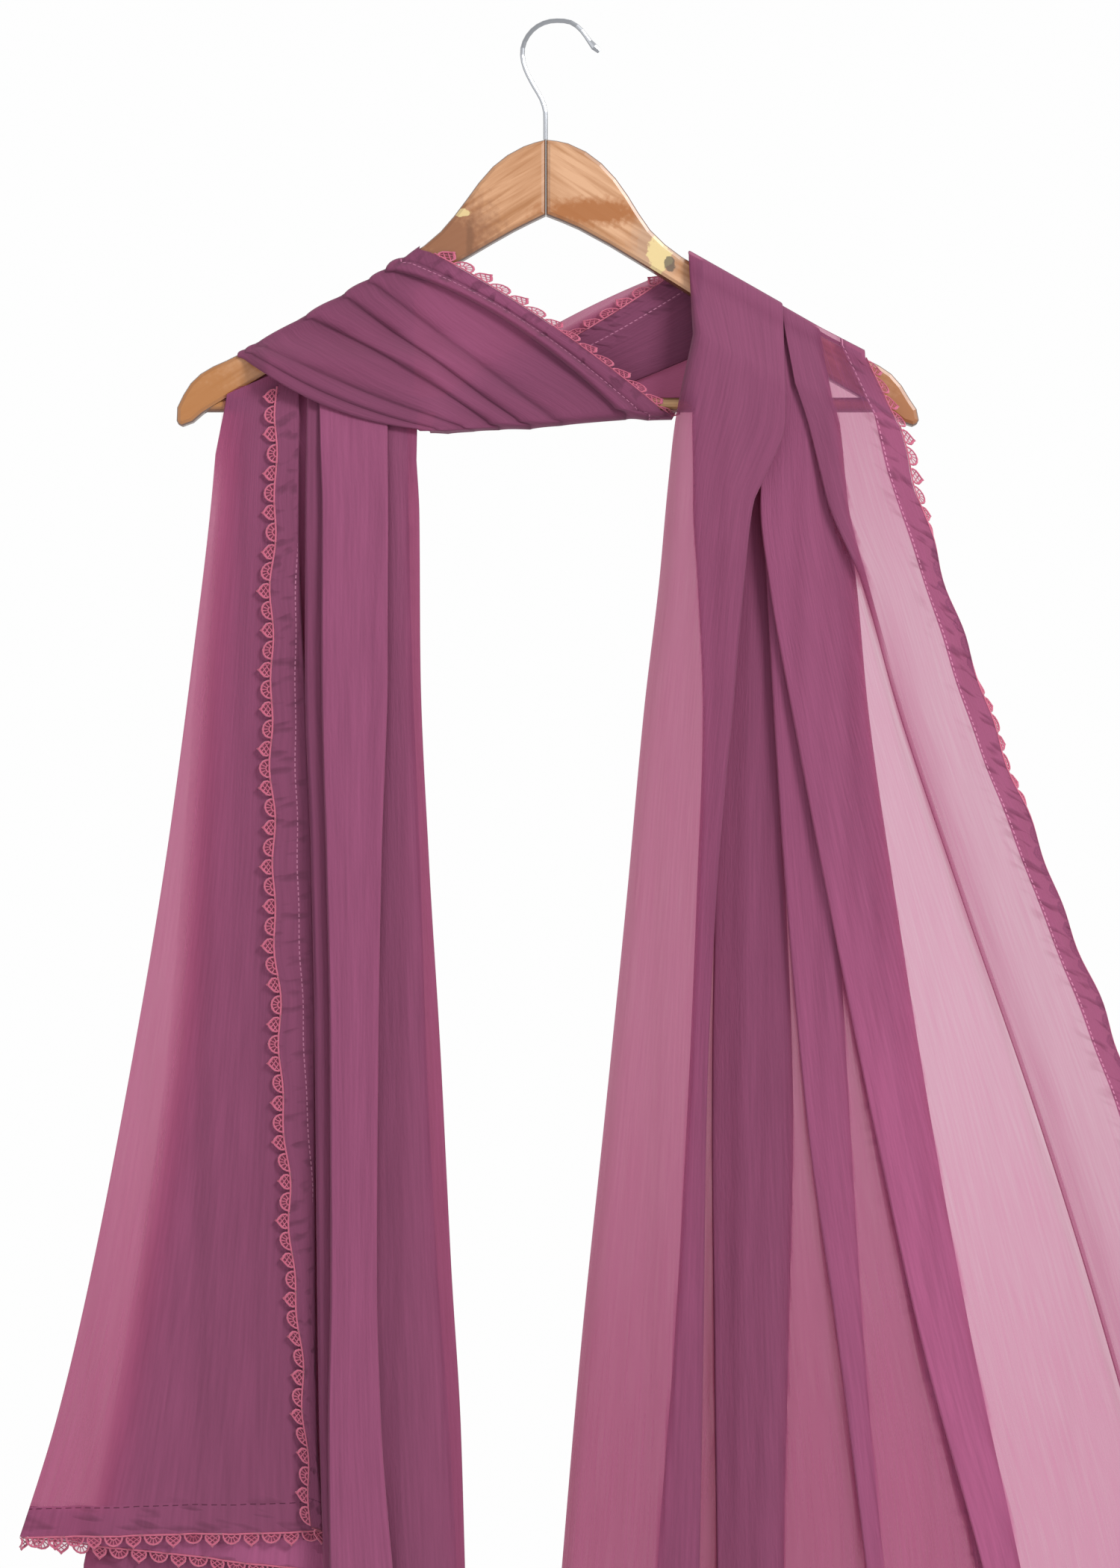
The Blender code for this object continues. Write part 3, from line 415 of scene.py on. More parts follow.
def hanging(folds, levels, start, clearances, rows, spacing):
    """Points, hem distances, plies and tones of a hanging stretch, the tones being painted light and
    shade. Each layer is level between two fold lines at its own depth, and a part of an ellipse at
    each fold joins it to the next."""
    share = start * np.linspace(0, 1, 14)
    share = np.concatenate([share, start + (1 - start) * np.linspace(0, 1, rows)[1:]])
    tops = np.array([fold.top_line for fold in folds], float)[:, None]
    hems = np.array([fold.hem_line for fold in folds], float)[:, None]
    lines = tops + (hems - tops) * share
    places = []
    for fold, line in zip(folds, lines):
        first = fold.top_line + (fold.hem_line - fold.top_line) * start
        known = [(level, column) for level, column in zip(levels, fold.columns) if level > first + 12]
        knots, values = zip((first, fold.start_column), *known)
        early = fold.top_column + (fold.start_column - fold.top_column) * share / start
        places.append(np.where(share <= start, early, curve_through(knots, values, line)))
    places = across(places)
    depths = []
    for fold in folds[:-1]:
        near, low = (11 - rank for rank in fold.ranks)
        length = fold.hem_line - fold.top_line
        stack = (fold.top_depth / 1000, near * PITCH_NEAR, low * PITCH_LOW, low * PITCH_HEM)
        depths.append(np.interp(share, (0.25 * start, start, 330 / length, 1.0), stack))
    depths = np.array(depths)
    last = len(depths) - 1
    order = [fold.ranks[1] for fold in folds[:-1]]
    lows = np.minimum(places[:-1], places[1:])
    highs = np.maximum(places[:-1], places[1:])

    def covering(x, others):
        """How many of those layers lie over or under x, each with a soft edge."""
        found = np.zeros_like(x)
        for other in others:
            soft = [0.05 if folds[k].name.startswith("soft") else 0.005 for k in (other, other + 1)]
            if places[other].mean() > places[other + 1].mean():
                soft = soft[::-1]
            found = found + (smooth((x - lows[other]) / soft[0] + 0.12)
                             * smooth((highs[other] - x) / soft[1] + 0.12))
        return found

    def density(x, line, layer):
        """Plies of the outermost cloth, which stands for the dense stack behind it as well, and more plies
        towards the bottom as painted shade.
        """
        ahead = covering(x, [k for k in range(last + 1) if order[k] < order[layer]])
        behind = covering(x, [k for k in range(last + 1) if order[k] > order[layer]])
        outermost = np.maximum(np.clip(1 - ahead, 0, 1), np.clip(1 - behind, 0, 1))
        most, fall_off = (1.4, 170) if layer else (0.35, 420)
        gathered = most * (1 - smooth((line - folds[layer].top_line) / fall_off))
        plies = 1 + 3.5 * smooth((ahead + behind - 1) / 2) * outermost + gathered
        if folds[layer].name in ("panel tuck", "right side"):
            plies = plies + 0.8
        for side in (layer, layer + 1):
            if folds[side].name.startswith("soft"):
                plies = plies * (0.03 + 0.97 * smooth(np.abs(x - places[side]) / 0.055))
        # Painted shade: the cloth grows denser, and so darker, towards the bottom.
        return plies * (1 + 0.3 * smooth((line - 1300) / 800))

    xs, ls, ds, edges, ripples, plies, tones = [], [], [], [], [], [], []
    for layer in range(last + 1):
        a, b = places[layer], places[layer + 1]
        width = np.abs(b - a)
        sign = np.where(b >= a, 1.0, -1.0)
        before = np.abs(depths[layer] - depths[layer - 1]) / 2 if layer else np.zeros_like(share)
        after = np.abs(depths[layer + 1] - depths[layer]) / 2 if layer < last else np.zeros_like(share)
        before, after = np.minimum(before, TURN_REACH), np.minimum(after, TURN_REACH)
        squeeze = np.minimum(1.0, 0.8 * width / (before + after + 1e-6))
        inner = a + sign * before * squeeze
        outer = b - sign * after * squeeze
        count = max(3, int(width.max() / spacing) + 2)
        t = np.linspace(0, 1, count)[:, None]
        x = inner + (outer - inner) * t
        part = np.where(width > 1e-6, (x - a) / np.where(width > 1e-6, b - a, 1.0), 0.5)
        ls.append(lines[layer] + (lines[layer + 1] - lines[layer]) * part)
        ds.append(depths[layer] + 0 * x)
        from_edge = np.full_like(x, NO_HEM)
        if layer == 0:
            from_edge = np.abs(x - a)
        if layer == last:
            from_edge = np.abs(x - b)
        edges.append(from_edge)
        z = height(ls[-1])
        waver = 0.0011 * (np.sin(115 * z) + 0.6 * np.sin(63 * z + 1)) * (layer == 0)
        xs.append(x + waver * (1 - smooth(from_edge / 0.022)) * smooth(share / 0.06))
        calm = np.minimum(1.0, np.minimum(np.abs(x - a), np.abs(x - b)) / 0.012)
        ripple = np.sin(2 * math.pi * x / (0.031 + 0.004 * (layer % 4)) + 1.7 * layer + 3.5 * z)
        ripple += 0.6 * np.sin(2 * math.pi * x / 0.017 + 2.9 * layer - 6.0 * z)
        ripples.append(0.0005 * ripple * calm)
        body = density(x, ls[-1], layer)
        fading = smooth((ls[-1] - 760) / 150)
        if folds[layer].name == "crease":
            body = body * (1 - 0.95 * fading)
        if folds[layer].name == "crease back":
            body = body * (1 - 0.5 * fading * (1 - smooth(np.abs(x - a) / 0.009)))
        if folds[layer + 1].name == "crease":
            body = body * (1 - 0.5 * fading * (1 - smooth(np.abs(x - b) / 0.009)))
            body = body + 0.4 * fading * np.exp(-((x - b - 0.004) / 0.012) ** 2)
        plies.append(body)
        first, second = folds[layer].tones
        tones.append(first + (second - first) * np.clip(part, 0, 1))
        # Painted highlight: the crease back and band right layers are lighter beside the next fold, more so
        # further down.
        painted_highlight = {"crease back": 0.3, "band right": 0.08}.get(folds[layer].name)
        if painted_highlight:
            folded = smooth((places[layer + 2] - x) / 0.004)
            tones[-1] = tones[-1] * (1 + painted_highlight * folded * smooth((ls[-1] - 1050) / 500))
        if layer < last:
            angle = np.radians(TURN_ANGLES)[:, None]
            half = (depths[layer + 1] - depths[layer]) / 2
            xs.append(b - sign * after * squeeze * (1 - np.cos(angle)))
            ls.append(lines[layer + 1] + 0 * angle)
            ds.append((depths[layer] + depths[layer + 1]) / 2 + half * np.sin(angle))
            edges.append(np.full((len(angle), len(share)), NO_HEM))
            ripples.append(np.zeros((len(angle), len(share))))
            plies.append(np.repeat(plies[-1][-1:], len(angle), axis=0))
            tones.append(np.repeat(tones[-1][-1:], len(angle), axis=0))
    x, line, depth, edge, ripple, body, tone = (
        np.concatenate(parts).T for parts in (xs, ls, ds, edges, ripples, plies, tones))
    spread = smooth((share - 0.08) / 0.9)[:, None]
    clearance = np.interp(lines.mean(axis=0), *zip(*clearances))[:, None]
    z = height(line)
    wave = 0.004 * np.sin(2 * math.pi * x / 0.36 + 0.7) * spread
    wave += 0.0016 * np.sin(2 * math.pi * x / 0.083 + 1.1 + 2.0 * z) * spread
    y = wave - clearance - depth - ripple * smooth(share / 0.1)[:, None] * 1.6
    fall = (hems - tops).mean() * PIXEL
    end = (1 - share)[:, None] * fall + 0 * x
    steps = np.hypot(np.diff(x, axis=1), np.diff(y, axis=1)).mean(axis=0)
    path = np.concatenate([[0], np.cumsum(steps)]) + 0 * x
    return np.stack([x, y, z], axis=-1), edge, end, fall - end, path, body, tone


LEFT_LEVELS = (690, 900, 1150, 1400, 1700, 1900, 2100)
LEFT_FOLDS = [
    Fold("lace edge", 374, 488, 2040, 3.4, 373, (5, 5), (1.0, 1.0), (371, 367, 370, 379, 397, 412, 420)),
    Fold("hem turn", 402, 486, 2046, 1.8, 402, (6, 6), (0.96, 1.22), (402, 410, 420, 424, 424, 426, 440)),
    Fold("left side", 304, 529, 2059, 0.4, 290, (7, 7), (1.0, 2.0), (283, 258, 224, 182, 124, 76, 13)),
    Fold("back right", 432, 500, 2105, 0.3, 438, (8, 8), (1.0, 1.0), (515, 500, 490, 488, 485, 482, 476)),
    Fold("soft left", 300, 522, 2112, 0.2, 292, (9, 9), (1.0, 1.0), (281, 264, 246, 226, 184, 150, 110)),
    Fold("deep right", 458, 517, 2122, 0.1, 468, (10, 10), (1.0, 1.0), (520, 522, 520, 518, 518, 518, 515)),
    Fold("soft middle", 472, 519, 2130, 0.0, 330, (11, 11), (1.0, 1.0), (314, 318, 326, 333, 340, 343, 345)),
    Fold("back side", 545, 530, 2150, 4.9, 547, (4, 4), (1.0, 1.0), (548, 553, 563, 571, 586, 601, 612)),
    Fold("strip left", 412, 510, 2165, 8.1, 412, (2, 2), (0.95, 0.9), (411, 411, 419, 424, 427, 430, 436)),
    Fold("strip tuck", 452, 516, 2168, 9.4, 455, (1, 1), (0.9, 0.9), (455, 456, 462, 465, 465, 465, 468)),
    Fold("panel left", 428, 512, 2168, 10.7, 431, (0, 0), (1.32, 1.26), (434, 434, 440, 445, 446, 443, 445)),
    Fold("panel right", 520, 526, 2172, 9.4, 521, (1, 1), (0.95, 0.95), (522, 522, 514, 510, 508, 514, 530)),
    Fold("panel tuck", 477, 520, 2176, 8.1, 477, (2, 2), (0.9, 1.08), (477, 477, 476, 474, 472, 476, 487)),
    Fold("right side", 560, 532, 2186, 6.5, 559, (3, 3), (1.05, 1.0), (563, 565, 576, 591, 606, 618, 624)),
    Fold("far edge", 507, 524, 2190, 6.5, 510, (3, 3), (1.0, 1.0), (512, 516, 522, 525, 522, 530, 536)),
]
left_points, *left_marks = hanging(LEFT_FOLDS, LEFT_LEVELS, 0.053, ((560, 0.0056), (2200, -0.006)),
                                   120, 0.004)
left_fall = sheet_object("left_stretch", left_points, *left_marks)
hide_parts("left_fall")

RIGHT_LEVELS = (570, 640, 680, 780, 950, 1200, 1500, 1800, 2100, 2870)
RIGHT_RIDGE = ((871, 308), (913, 344), (1000, 393), (1100, 450), (1160, 481), (1194, 501))
RIGHT_FOLDS = [
    Fold("lace edge", 1158, 0, 2830, 4.1, 1202, (2, 2), (1.0, 1.0),
         (1200, 1215, 1228, 1261, 1316, 1411, 1527, 1630, 1718, 1834)),
    Fold("crease", 1046, 0, 2850, 2.7, 1062, (3, 3), (1.0, 1.0),
         (1079, 1096, 1106, 1148, 1197, 1281, 1385, 1478, 1560, 1690)),
    Fold("crease back", 1098, 0, 2850, 1.3, 1114, (4, 4), (1.15, 1.32),
         (1122, 1129, 1133, 1158, 1207, 1291, 1395, 1488, 1570, 1700)),
    Fold("band left", 1034, 0, 2860, 1.1, 1026, (5, 5), (1.2, 1.2),
         (1019, 1017, 1016, 1027, 1057, 1105, 1166, 1232, 1314, 1500)),
    Fold("band right", 1090, 0, 2862, 0.9, 1106, (6, 6), (1.1, 1.3),
         (1112, 1123, 1130, 1144, 1160, 1196, 1244, 1300, 1365, 1518)),
    Fold("second left", 1015, 0, 2868, 0.7, 1009, (7, 7), (1.1, 1.1),
         (1026, 1022, 1020, 1025, 1034, 1051, 1079, 1121, 1159, 1250)),
    Fold("second right", 1060, 0, 2869, 0.5, 1072, (8, 8), (1.0, 1.1),
         (1080, 1086, 1090, 1095, 1105, 1120, 1137, 1156, 1183, 1262)),
    Fold("centre left", 997, 0, 2872, 0.3, 992, (9, 9), (1.05, 1.05),
         (990, 987, 985, 980, 968, 957, 953, 956, 960, 968)),
    Fold("centre right", 1030, 0, 2873, 0.1, 1040, (10, 10), (1.0, 1.0),
         (1048, 1046, 1045, 1042, 1040, 1052, 1062, 1056, 1050, 1045)),
    Fold("inner left", 938, 0, 2876, 4.1, 932, (1, 1), (1.0, 1.0),
         (926, 927, 927, 933, 940, 932, 919, 902, 880, 850)),
    Fold("panel right", 1048, 0, 2878, 5.5, 1050, (0, 0), (1.05, 1.02),
         (1049, 1024, 1006, 994, 979, 957, 944, 940, 935, 925)),
    Fold("left side", 922, 0, 2885, 2.8, 927, (11, 11), (1.1, 1.0),
         (903, 895, 891, 882, 862, 839, 809, 778, 752, 690)),
    Fold("far edge", 1068, 0, 2895, 2.8, 1082, (11, 11), (1.0, 1.0),
         (1095, 1103, 1108, 1118, 1130, 1160, 1205, 1270, 1340, 1400)),
]
ridge_columns, ridge_lines = zip(*RIGHT_RIDGE)
RIGHT_FOLDS = [fold._replace(top_line=float(np.interp(fold.top_column, ridge_columns, ridge_lines)))
               for fold in RIGHT_FOLDS]


SaddleRow = namedtuple("SaddleRow", "reach lift out up")
SADDLE = (
    SaddleRow(0.0001, 0.0013, 0, 1), SaddleRow(0.0018, 0.00128, 0, 1), SaddleRow(0.0034, 0.0011, 0.1, 1),
    SaddleRow(0.0050, 0.0007, 0.4, 0.9), SaddleRow(0.0062, -0.0002, 0.7, 0.7),
    SaddleRow(0.0069, -0.0016, 0.9, 0.35),
)


def saddle(columns, depths, ridge, side):
    """Rows over an arm from its ridge to its face: each is its reach outwards and its lift over the
    ridge, and the layers' depths are added to both by the shares out and up."""
    ridge_at, ridge_line = zip(*ridge)
    top = height(np.interp(columns, ridge_at, ridge_line))
    return [np.stack([across(columns), side * (row.reach + depths * row.out),
                      top + row.lift + depths * row.up], -1) for row in SADDLE]


points, *marks = hanging(RIGHT_FOLDS, RIGHT_LEVELS, 0.0405, ((340, 0.0073), (560, 0.0066), (2880, -0.006)),
                         185, 0.0045)
top_row = points[0]
top_columns = top_row[:, 0] / PIXEL + HOLD_COLUMN
over = saddle(top_columns, -top_row[:, 1] - 0.0073, RIGHT_RIDGE, -1)
right_points = np.concatenate([over, points[1:]])
right_marks = [np.concatenate([np.repeat(mark[:1], len(over), axis=0), mark[1:]]) for mark in marks]
right_fall = sheet_object("right_stretch", right_points, *right_marks)
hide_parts("right_fall")

# The front drape. Eight pleats run from the ridge of the left arm down to the bar, each standing
# over the one below, and the cloth turns under the bar. It is several layers thick.

LEFT_RIDGE = ((303, 483), (350, 459), (450, 403), (545, 345), (590, 310))
Pleat = namedtuple("Pleat", "name start middle end height")
FRONT_PLEATS = [
    Pleat("lower edge", (318, 475), (440, 549), (576, 580), 0.0012),
    Pleat("first roll", (328, 469), (455, 538), (600, 581), 0.0018),
    Pleat("second roll", (344, 461), (488, 528), (634, 578), 0.0024),
    Pleat("third", (408, 424), (532, 489), (668, 576), 0.0040),
    Pleat("fourth", (460, 396), (562, 471), (710, 575), 0.0034),
    Pleat("fifth", (494, 376), (618, 470), (752, 570), 0.0026),
    Pleat("deep tuck", (516, 362), (672, 428), (838, 562), 0.0062),
    Pleat("hem crease", (542, 346), (708, 434), (868, 563), 0.0008),
    Pleat("laced edge", (562, 332), (731, 432), (900, 562), 0.0),
]
# Each spot's last value is painted shade in the valley at the foot of a pleat and a painted highlight on its
# crest.
Profile = namedtuple("Profile", "step stand tone")
UNDER_BAR = 0.94
FRONT_PROFILE = [
    Profile(0.0, 0.0, 0.6), Profile(0.03, 0.3, 0.85), Profile(0.07, 0.55, 1.0),
    Profile(0.14, 0.8, 1.08), Profile(0.24, 0.97, 1.12), Profile(0.36, 1.0, 1.1),
    Profile(0.48, 0.93, 1.05), Profile(0.6, 0.78, 1.02), Profile(0.71, 0.58, 0.98),
    Profile(0.81, 0.36, 0.94), Profile(0.89, 0.18, 0.86), Profile(0.95, 0.06, 0.74),
]


def pleat_line(pleat, share):
    """A parabola through the pleat's three places."""
    first, middle, last = (np.array(place, float) for place in (pleat.start, pleat.middle, pleat.end))
    return (first * (1 - share) * (1 - 2 * share) + middle * 4 * share * (1 - share)
            + last * share * (2 * share - 1))


def front_depth(column, line, rise):
    """Over the arm's face, and further out over the top of the left stretch."""
    bulge = 0.0128 * smooth((column - 322) / 42) * smooth((line - 443) / 52)
    return 0.0074 + bulge * smooth((650 - column) / 80) + rise


def front_drape():
    """Rows from the arm's ridge down the front and round under the bar, a fine step apart."""
    spots = [(low, high, spot.step, spot.stand) for low, high in zip(FRONT_PLEATS, FRONT_PLEATS[1:])
             for spot in FRONT_PROFILE]
    spots.append((FRONT_PLEATS[-2], FRONT_PLEATS[-1], 1.0, 0.0))
    rises = np.array([low.height * stand for low, high, step, stand in spots])

    def row_at(share):
        return np.array([pleat_line(low, share) * (1 - step) + pleat_line(high, share) * step
                         for low, high, step, stand in spots])

    start = row_at(0.0)
    grid = saddle(start[:, 0], rises * 0.4, LEFT_RIDGE, -1)
    for share in np.linspace(0.04, UNDER_BAR, 66):
        place = row_at(share)
        rise = rises * math.sin(math.pi * (0.14 + 0.68 * share))
        depth = front_depth(place[:, 0], place[:, 1], rise)
        grid.append(np.stack([across(place[:, 0]), -depth, height(place[:, 1])], axis=1))
    last = row_at(UNDER_BAR)
    end = row_at(1.0)
    turn = height(np.maximum(last[:, 1] + 3, np.minimum(545, end[:, 1] - 14)))
    bottom = height(end[:, 1]) + rises * 0.12
    for angle in range(12, 181, 12):
        lift = math.sin(math.radians(angle))
        reach = math.cos(math.radians(angle))
        if angle <= 90:
            place = last + (end - last) * min(1.0, (0.2 + 1.6 * lift) * min(1.0, angle / 24))
            depth = front_depth(last[:, 0], last[:, 1], rises * 0.7) * reach
            z = turn + (bottom - turn) * lift
        else:
            place = end + (np.array((6.0, 0.0)) * (1 - lift))
            depth = (0.0072 + rises * 0.2 * lift) * reach
            z = bottom * lift + height(550) * (1 - lift)
        grid.append(np.stack([across(place[:, 0]), -depth, z], axis=1))
    return np.array(grid)


def lengths_down(points):
    """Distance of each point from the first row, along its column."""
    steps = np.linalg.norm(np.diff(points, axis=0), axis=2)
    return np.concatenate([np.zeros((1, points.shape[1])), np.cumsum(steps, axis=0)])


def lengths_across(points):
    """Distance of each point from the first column, along its row."""
    steps = np.linalg.norm(np.diff(points, axis=1), axis=2)
    return np.concatenate([np.zeros((points.shape[0], 1)), np.cumsum(steps, axis=1)], axis=1)


front_points = front_drape()
front_width = lengths_across(front_points)
front_shape = front_points.shape[:2]
# Painted shade in the pleats' valleys and painted highlights on their crests, stronger on taller pleats.
front_painted_light = np.array([0.86 + 0.7 * (spot.tone - 1) * min(1.0, 0.25 + low.height / 0.005)
                       for low in FRONT_PLEATS[:-1] for spot in FRONT_PROFILE] + [0.9])
front = sheet_object("front_cloth", front_points, front_width[:, -1:] - front_width,
                     np.full(front_shape, NO_HEM), lengths_down(front_points), front_width,
                     np.full(front_shape, 6.0), np.broadcast_to(front_painted_light, front_shape))
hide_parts("front_drape")

# The back drape and the left wrap. The cloth behind the bar climbs behind the right arm, folded in
# three along its length, and another stretch goes from the back of the left arm down to the bar.

BackSpot = namedtuple("BackSpot", "share layer")
BACK_SPOTS = [
    BackSpot(0.0, 0), BackSpot(0.06, 0), BackSpot(0.12, 0), BackSpot(0.22, 0), BackSpot(0.32, 0),
    BackSpot(0.42, 0), BackSpot(0.5, 0.1), BackSpot(0.53, 0.3), BackSpot(0.54, 0.5),
    BackSpot(0.53, 0.7), BackSpot(0.5, 0.9), BackSpot(0.38, 1), BackSpot(0.25, 1),
    BackSpot(0.08, 1), BackSpot(-0.08, 1.1), BackSpot(-0.11, 1.3), BackSpot(-0.12, 1.5),
    BackSpot(-0.11, 1.7), BackSpot(-0.08, 1.9), BackSpot(0.08, 2), BackSpot(0.25, 2),
    BackSpot(0.5, 2), BackSpot(0.64, 1.4), BackSpot(0.72, 1.0), BackSpot(0.8, 0.7),
    BackSpot(0.9, 0.7), BackSpot(1.0, 0.7),
]


def back_drape():
    """Rows from behind the bar up to the ridge of the right arm."""
    foot = np.array(((566, 548), (896, 548)), float)
    head = np.array(((924, 350), (1156, 479)), float)
    layers = np.array([spot.layer for spot in BACK_SPOTS])
    grid = []
    for share in np.linspace(0.0, 0.98, 40):
        swell = math.sin(math.pi * share)
        upper = foot[0] * (1 - share) + head[0] * share + np.array((10, 8)) * swell
        lower = foot[1] * (1 - share) + head[1] * share
        spread = np.array([spot.share if spot.share >= 0 else spot.share * swell * 1.3
                           for spot in BACK_SPOTS])[:, None]
        place = upper * (1 - spread) + lower * spread
        depth = 0.0075 + layers * 0.0023 * (0.85 + 0.15 * swell)
        grid.append(np.stack([across(place[:, 0]), depth, height(place[:, 1])], axis=1))
    spread = np.array([max(spot.share, 0.0) for spot in BACK_SPOTS])[:, None]
    place = head[0] * (1 - spread) + head[1] * spread
    return np.array(grid + saddle(place[:, 0], layers * 0.0023 * 0.85, RIGHT_RIDGE, 1)[::-1])


back_points = back_drape()
back_width = lengths_across(back_points)
back_shape = back_points.shape[:2]
back_plies = np.array([0.9 if spot.share < 0.05 and spot.layer > 0.5 else 4.0 for spot in BACK_SPOTS])
back = sheet_object("back_cloth", back_points, np.minimum(back_width, back_width[:, -1:] - back_width),
                    np.full(back_shape, NO_HEM), lengths_down(back_points), back_width,
                    np.broadcast_to(back_plies, back_shape), np.full(back_shape, 0.88))
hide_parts("back_drape")

WrapColumn = namedtuple("WrapColumn", "on_ridge at_foot foot_line stand")
WRAP = [
    WrapColumn(322, 334, 529, 0.0), WrapColumn(346, 350, 526, 1.0), WrapColumn(374, 376, 522, 0.2),
    WrapColumn(404, 404, 518, 1.2), WrapColumn(436, 432, 513, 0.1), WrapColumn(470, 466, 516, 1.3),
    WrapColumn(502, 498, 521, 0.2), WrapColumn(532, 526, 525, 1.0), WrapColumn(560, 554, 528, 0.0),
]
LEFT_FOOT = ((296, 538), (356, 503), (460, 440), (560, 383), (624, 346))


def left_wrap():
    """Columns between the table's own, carried down the arm's back and forward to the bar."""
    table = np.array(WRAP, float)
    spots = np.linspace(0, len(table) - 1, 65)
    ridge_at, foot_at, foot_line, stand = (
        curve_through(np.arange(len(table)), column, spots) for column in table.T)
    stand = stand * 0.0016
    grid = saddle(ridge_at, stand * 0.4, LEFT_RIDGE, 1)
    ridge_columns, ridge_lines = zip(*LEFT_RIDGE)
    top = height(np.interp(ridge_at, ridge_columns, ridge_lines))
    foot_columns, foot_lines = zip(*LEFT_FOOT)
    under = height(np.interp(foot_at, foot_columns, foot_lines))
    foot = height(foot_line)
    stations = ((0.12, 0.0075, 0.0), (0.55, 0.0077, 0.0), (1.0, 0.0075, 0.12), (1.0, 0.0035, 0.45),
                (1.0, -0.001, 0.75), (1.0, -0.0046, 1.0))
    for share, depth, to_foot in np.array([curve_through(range(6), column, np.linspace(0, 5, 26))
                                           for column in np.array(stations).T]).T:
        columns = ridge_at * (1 - share) + foot_at * share
        z = top + (under - top) * share
        z = z + (foot - z) * to_foot
        grid.append(np.stack([across(columns), depth + stand * (1 - to_foot), z], axis=1))
    return np.array(grid)


wrap_points = left_wrap()
wrap_shape = wrap_points.shape[:2]
wrap = sheet_object("wrap_cloth", wrap_points, np.full(wrap_shape, NO_HEM), np.full(wrap_shape, NO_HEM),
                    lengths_down(wrap_points), lengths_across(wrap_points), np.full(wrap_shape, 4.0),
                    np.full(wrap_shape, 0.95))
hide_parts("left_wrap")

# The lace. Corded edging sewn to the hem all round: a netted leaf, then a scallop round a small
# fan, every 24 mm, in a lighter salmon thread.

Stroke = namedtuple("Stroke", "radius places")
REPEAT = 0.024
SEAM = 0.0004
STROKES = [
    Stroke(0.0006, [(0, 0.3), (6, 0.3), (12, 0.3), (18, 0.3), (24, 0.3)]),
    Stroke(0.00062, [(2.6, 0.3), (1.7, 2.0), (2.1, 4.0), (3.8, 5.7), (6, 7.4), (8.2, 5.7), (9.9, 4.0),
                    (10.3, 2.0), (9.4, 0.3)]),
    Stroke(0.00032, [(2.0, 1.2), (8.1, 5.6)]), Stroke(0.00032, [(2.1, 3.4), (6.2, 7.0)]),
    Stroke(0.00032, [(4.6, 0.4), (9.8, 4.0)]), Stroke(0.00032, [(10.0, 1.2), (3.9, 5.6)]),
    Stroke(0.00032, [(9.9, 3.4), (5.8, 7.0)]), Stroke(0.00032, [(7.4, 0.4), (2.2, 4.0)]),
    Stroke(0.0005, [(5.4, 7.2), (6, 8.1), (6.6, 7.2)]),
    Stroke(0.00062, [(12.7, 0.3), (12.9, 2.2), (13.9, 4.1), (15.7, 5.5), (18, 6.0), (20.3, 5.5),
                    (22.1, 4.1), (23.1, 2.2), (23.3, 0.3)]),
    Stroke(0.0005, [(15.9, 0.3), (16.3, 1.7), (18, 2.5), (19.7, 1.7), (20.1, 0.3)]),
    Stroke(0.00032, [(16.2, 1.4), (13.9, 3.2)]), Stroke(0.00032, [(17.0, 2.2), (15.6, 5.2)]),
    Stroke(0.00032, [(18.0, 2.5), (18.0, 5.9)]), Stroke(0.00032, [(19.0, 2.2), (20.4, 5.2)]),
    Stroke(0.00032, [(19.8, 1.4), (22.1, 3.2)]),
]
LEAF_STROKE = 1
SCALLOP_STROKE = 9


def lace_repeat():
    """Square cords along every stroke of one repeat, then a net from side to side of the leaf and the
    scallop: places along, out and off the cloth, faces, and how many faces are cord."""
    places, faces = [], []
    for stroke in STROKES:
        path = np.array(stroke.places, float) / 1000
        slope = np.gradient(path, axis=0)
        slope /= np.linalg.norm(slope, axis=1, keepdims=True)
        side = np.stack([-slope[:, 1], slope[:, 0]], axis=1) * stroke.radius
        ring = np.stack([np.column_stack([path + side, 0 * path[:, :1]]),
                         np.column_stack([path, 0 * path[:, :1] + stroke.radius]),
                         np.column_stack([path - side, 0 * path[:, :1]]),
                         np.column_stack([path, 0 * path[:, :1] - stroke.radius])], axis=1)
        base = sum(len(part) for part in places)
        index = base + np.arange(len(path) * 4).reshape(len(path), 4)
        places.append(ring.reshape(-1, 3))
        for corner in range(4):
            after = (corner + 1) % 4
            faces.append(np.stack([index[:-1, corner], index[1:, corner], index[1:, after],
                                   index[:-1, after]], axis=1))
        faces.append(index[:1, ::-1])
        faces.append(index[-1:])
    cords = sum(len(part) for part in faces)
    for outline in (LEAF_STROKE, SCALLOP_STROKE):
        path = np.array(STROKES[outline].places, float) / 1000
        half = len(path) // 2
        path = np.vstack([path, (path[half - 1] + path[half + 1]) / 2])
        index = sum(len(part) for part in places) + np.arange(len(path))
        places.append(np.column_stack([path, 0 * path[:, :1]]))
        faces.append(np.stack([index[:half - 1], index[1:half], index[half + 1:-2][::-1],
                               index[half + 2:-1][::-1]], axis=1))
        faces.append(index[[half - 1, half, half + 1, -1]][None])
    return np.concatenate(places), np.concatenate(faces), cords


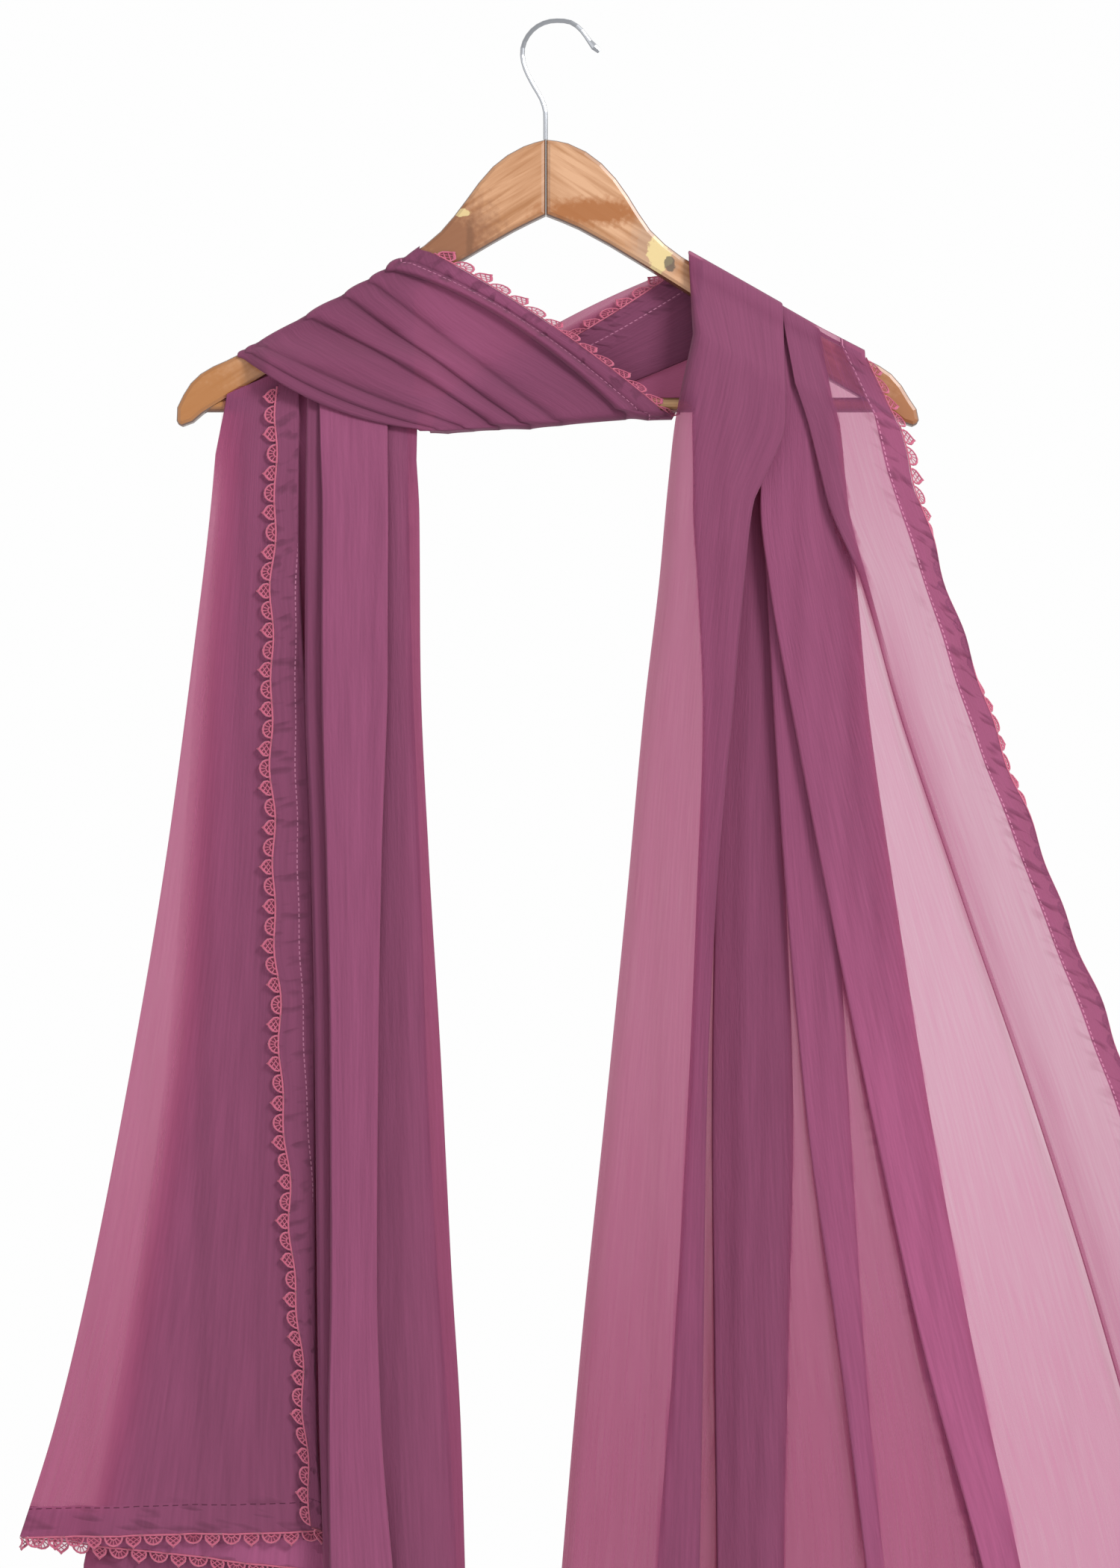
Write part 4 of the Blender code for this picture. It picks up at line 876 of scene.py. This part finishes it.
thread = bpy.data.materials.new("lace thread")
thread.use_nodes = True
thread_shader = thread.node_tree.nodes["Principled BSDF"]
thread_shader.inputs["Base Color"].default_value = (0.38, 0.07, 0.132, 1)
thread_shader.inputs["Roughness"].default_value = 0.7
thread_shader.inputs["Sheen Weight"].default_value = 0.2
net = bpy.data.materials.new("lace net")
net.use_nodes = True
net_shader = net.node_tree.nodes["Principled BSDF"]
net_shader.inputs["Base Color"].default_value = (0.22, 0.035, 0.075, 1)
net_shader.inputs["Roughness"].default_value = 0.8
net_gap = net.node_tree.nodes.new("ShaderNodeBsdfTransparent")
net_gap.inputs["Color"].default_value = (0.96, 0.88, 0.91, 1)
net_mix = net.node_tree.nodes.new("ShaderNodeMixShader")
net_mix.inputs["Fac"].default_value = 0.26
net.node_tree.links.new(net_gap.outputs["BSDF"], net_mix.inputs[1])
net.node_tree.links.new(net_shader.outputs["BSDF"], net_mix.inputs[2])
net.node_tree.links.new(net_mix.outputs["Shader"], net.node_tree.nodes["Material Output"].inputs["Surface"])


def lace(name, node, edge, outward):
    """Repeats of the pattern along a hem's points, each leaving it by the outward direction."""
    outward = outward / np.linalg.norm(outward, axis=1, keepdims=True)
    steps = np.linalg.norm(np.diff(edge, axis=0), axis=1)
    lengths = np.concatenate([[0], np.cumsum(steps)])
    along = np.gradient(edge, axis=0)
    along /= np.linalg.norm(along, axis=1, keepdims=True)
    off = np.cross(along, outward)
    off /= np.linalg.norm(off, axis=1, keepdims=True)
    repeats = max(1, round(lengths[-1] / REPEAT))
    unit, faces, cords = lace_repeat()
    scale = lengths[-1] / (repeats * REPEAT)
    s = ((unit[:, 0] + REPEAT * np.arange(repeats)[:, None]) * scale).reshape(-1)
    t = np.tile(unit[:, 1], repeats) + SEAM
    n = np.tile(unit[:, 2], repeats)

    def at(values):
        return np.stack([np.interp(s, lengths, values[:, axis]) for axis in range(3)], axis=1)

    points = at(edge) + at(outward) * t[:, None] + at(off) * n[:, None]
    quads = (faces + len(unit) * np.arange(repeats)[:, None, None]).reshape(-1, 4)
    mesh = bpy.data.meshes.new(name)
    mesh.from_pydata(points, [], quads)
    mesh.shade_smooth()
    mesh.materials.append(thread)
    mesh.materials.append(net)
    kinds = np.tile((np.arange(len(faces)) >= cords).astype(np.int32), repeats)
    mesh.polygons.foreach_set("material_index", kinds)
    piece = bpy.data.objects.new(name, mesh)
    bpy.context.scene.collection.objects.link(piece)
    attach(piece, "root")
    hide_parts(node)
    return piece


down = np.array((0.0, 0.0, -1.0))
LACE_TURN = ((640, 0), (700, 60), (760, 125), (880, 125), (930, 55), (1060, 55), (1120, 120), (1500, 110),
             (1800, 70), (2200, 30), (2900, 0))


def turned(edge, outward):
    """The outward direction swung behind the hem by the table's degrees at each line."""
    lines = HOLD_LINE - edge[:, 2] / PIXEL
    angle = np.radians(np.interp(lines, *zip(*LACE_TURN)))[:, None]
    outward = outward / np.linalg.norm(outward, axis=1, keepdims=True)
    return outward * np.cos(angle) + np.array((0.0, 1.0, 0.0)) * np.sin(angle)


def past(points, inner):
    """The outward direction at a row of hem points, away from the points further in."""
    return points - inner


left_laces = [
    lace("left_front_cords", "left_front_lace", left_points[5:, 0],
         past(left_points[5:, 0], left_points[5:, 2])),
    lace("left_far_cords", "left_far_lace", left_points[14:, -1],
         past(left_points[14:, -1], left_points[14:, -3])),
    lace("left_end_cords", "left_end_lace", left_points[-1], np.tile(down, (left_points.shape[1], 1))),
]
right_laces = [
    lace("right_front_cords", "right_front_lace", right_points[5:, 0],
         turned(right_points[5:, 0], past(right_points[5:, 0], right_points[5:, 2]))),
    lace("right_far_cords", "right_far_lace", right_points[26:, -1],
         past(right_points[26:, -1], right_points[26:, -3])),
    lace("right_end_cords", "right_end_lace", right_points[-1], np.tile(down, (right_points.shape[1], 1))),
]
front_laces = [
    lace("front_cords", "front_lace", front_points[7:76, -1],
         past(front_points[7:76, -1], front_points[7:76, -3])),
]
back_laces = [
    lace("back_upper_cords", "back_upper_lace", back_points[4:-6, 0],
         past(back_points[4:-6, 0], back_points[4:-6, 1])),
    lace("back_lower_cords", "back_lower_lace", back_points[3:-6, -1],
         past(back_points[3:-6, -1], back_points[3:-6, -2])),
]
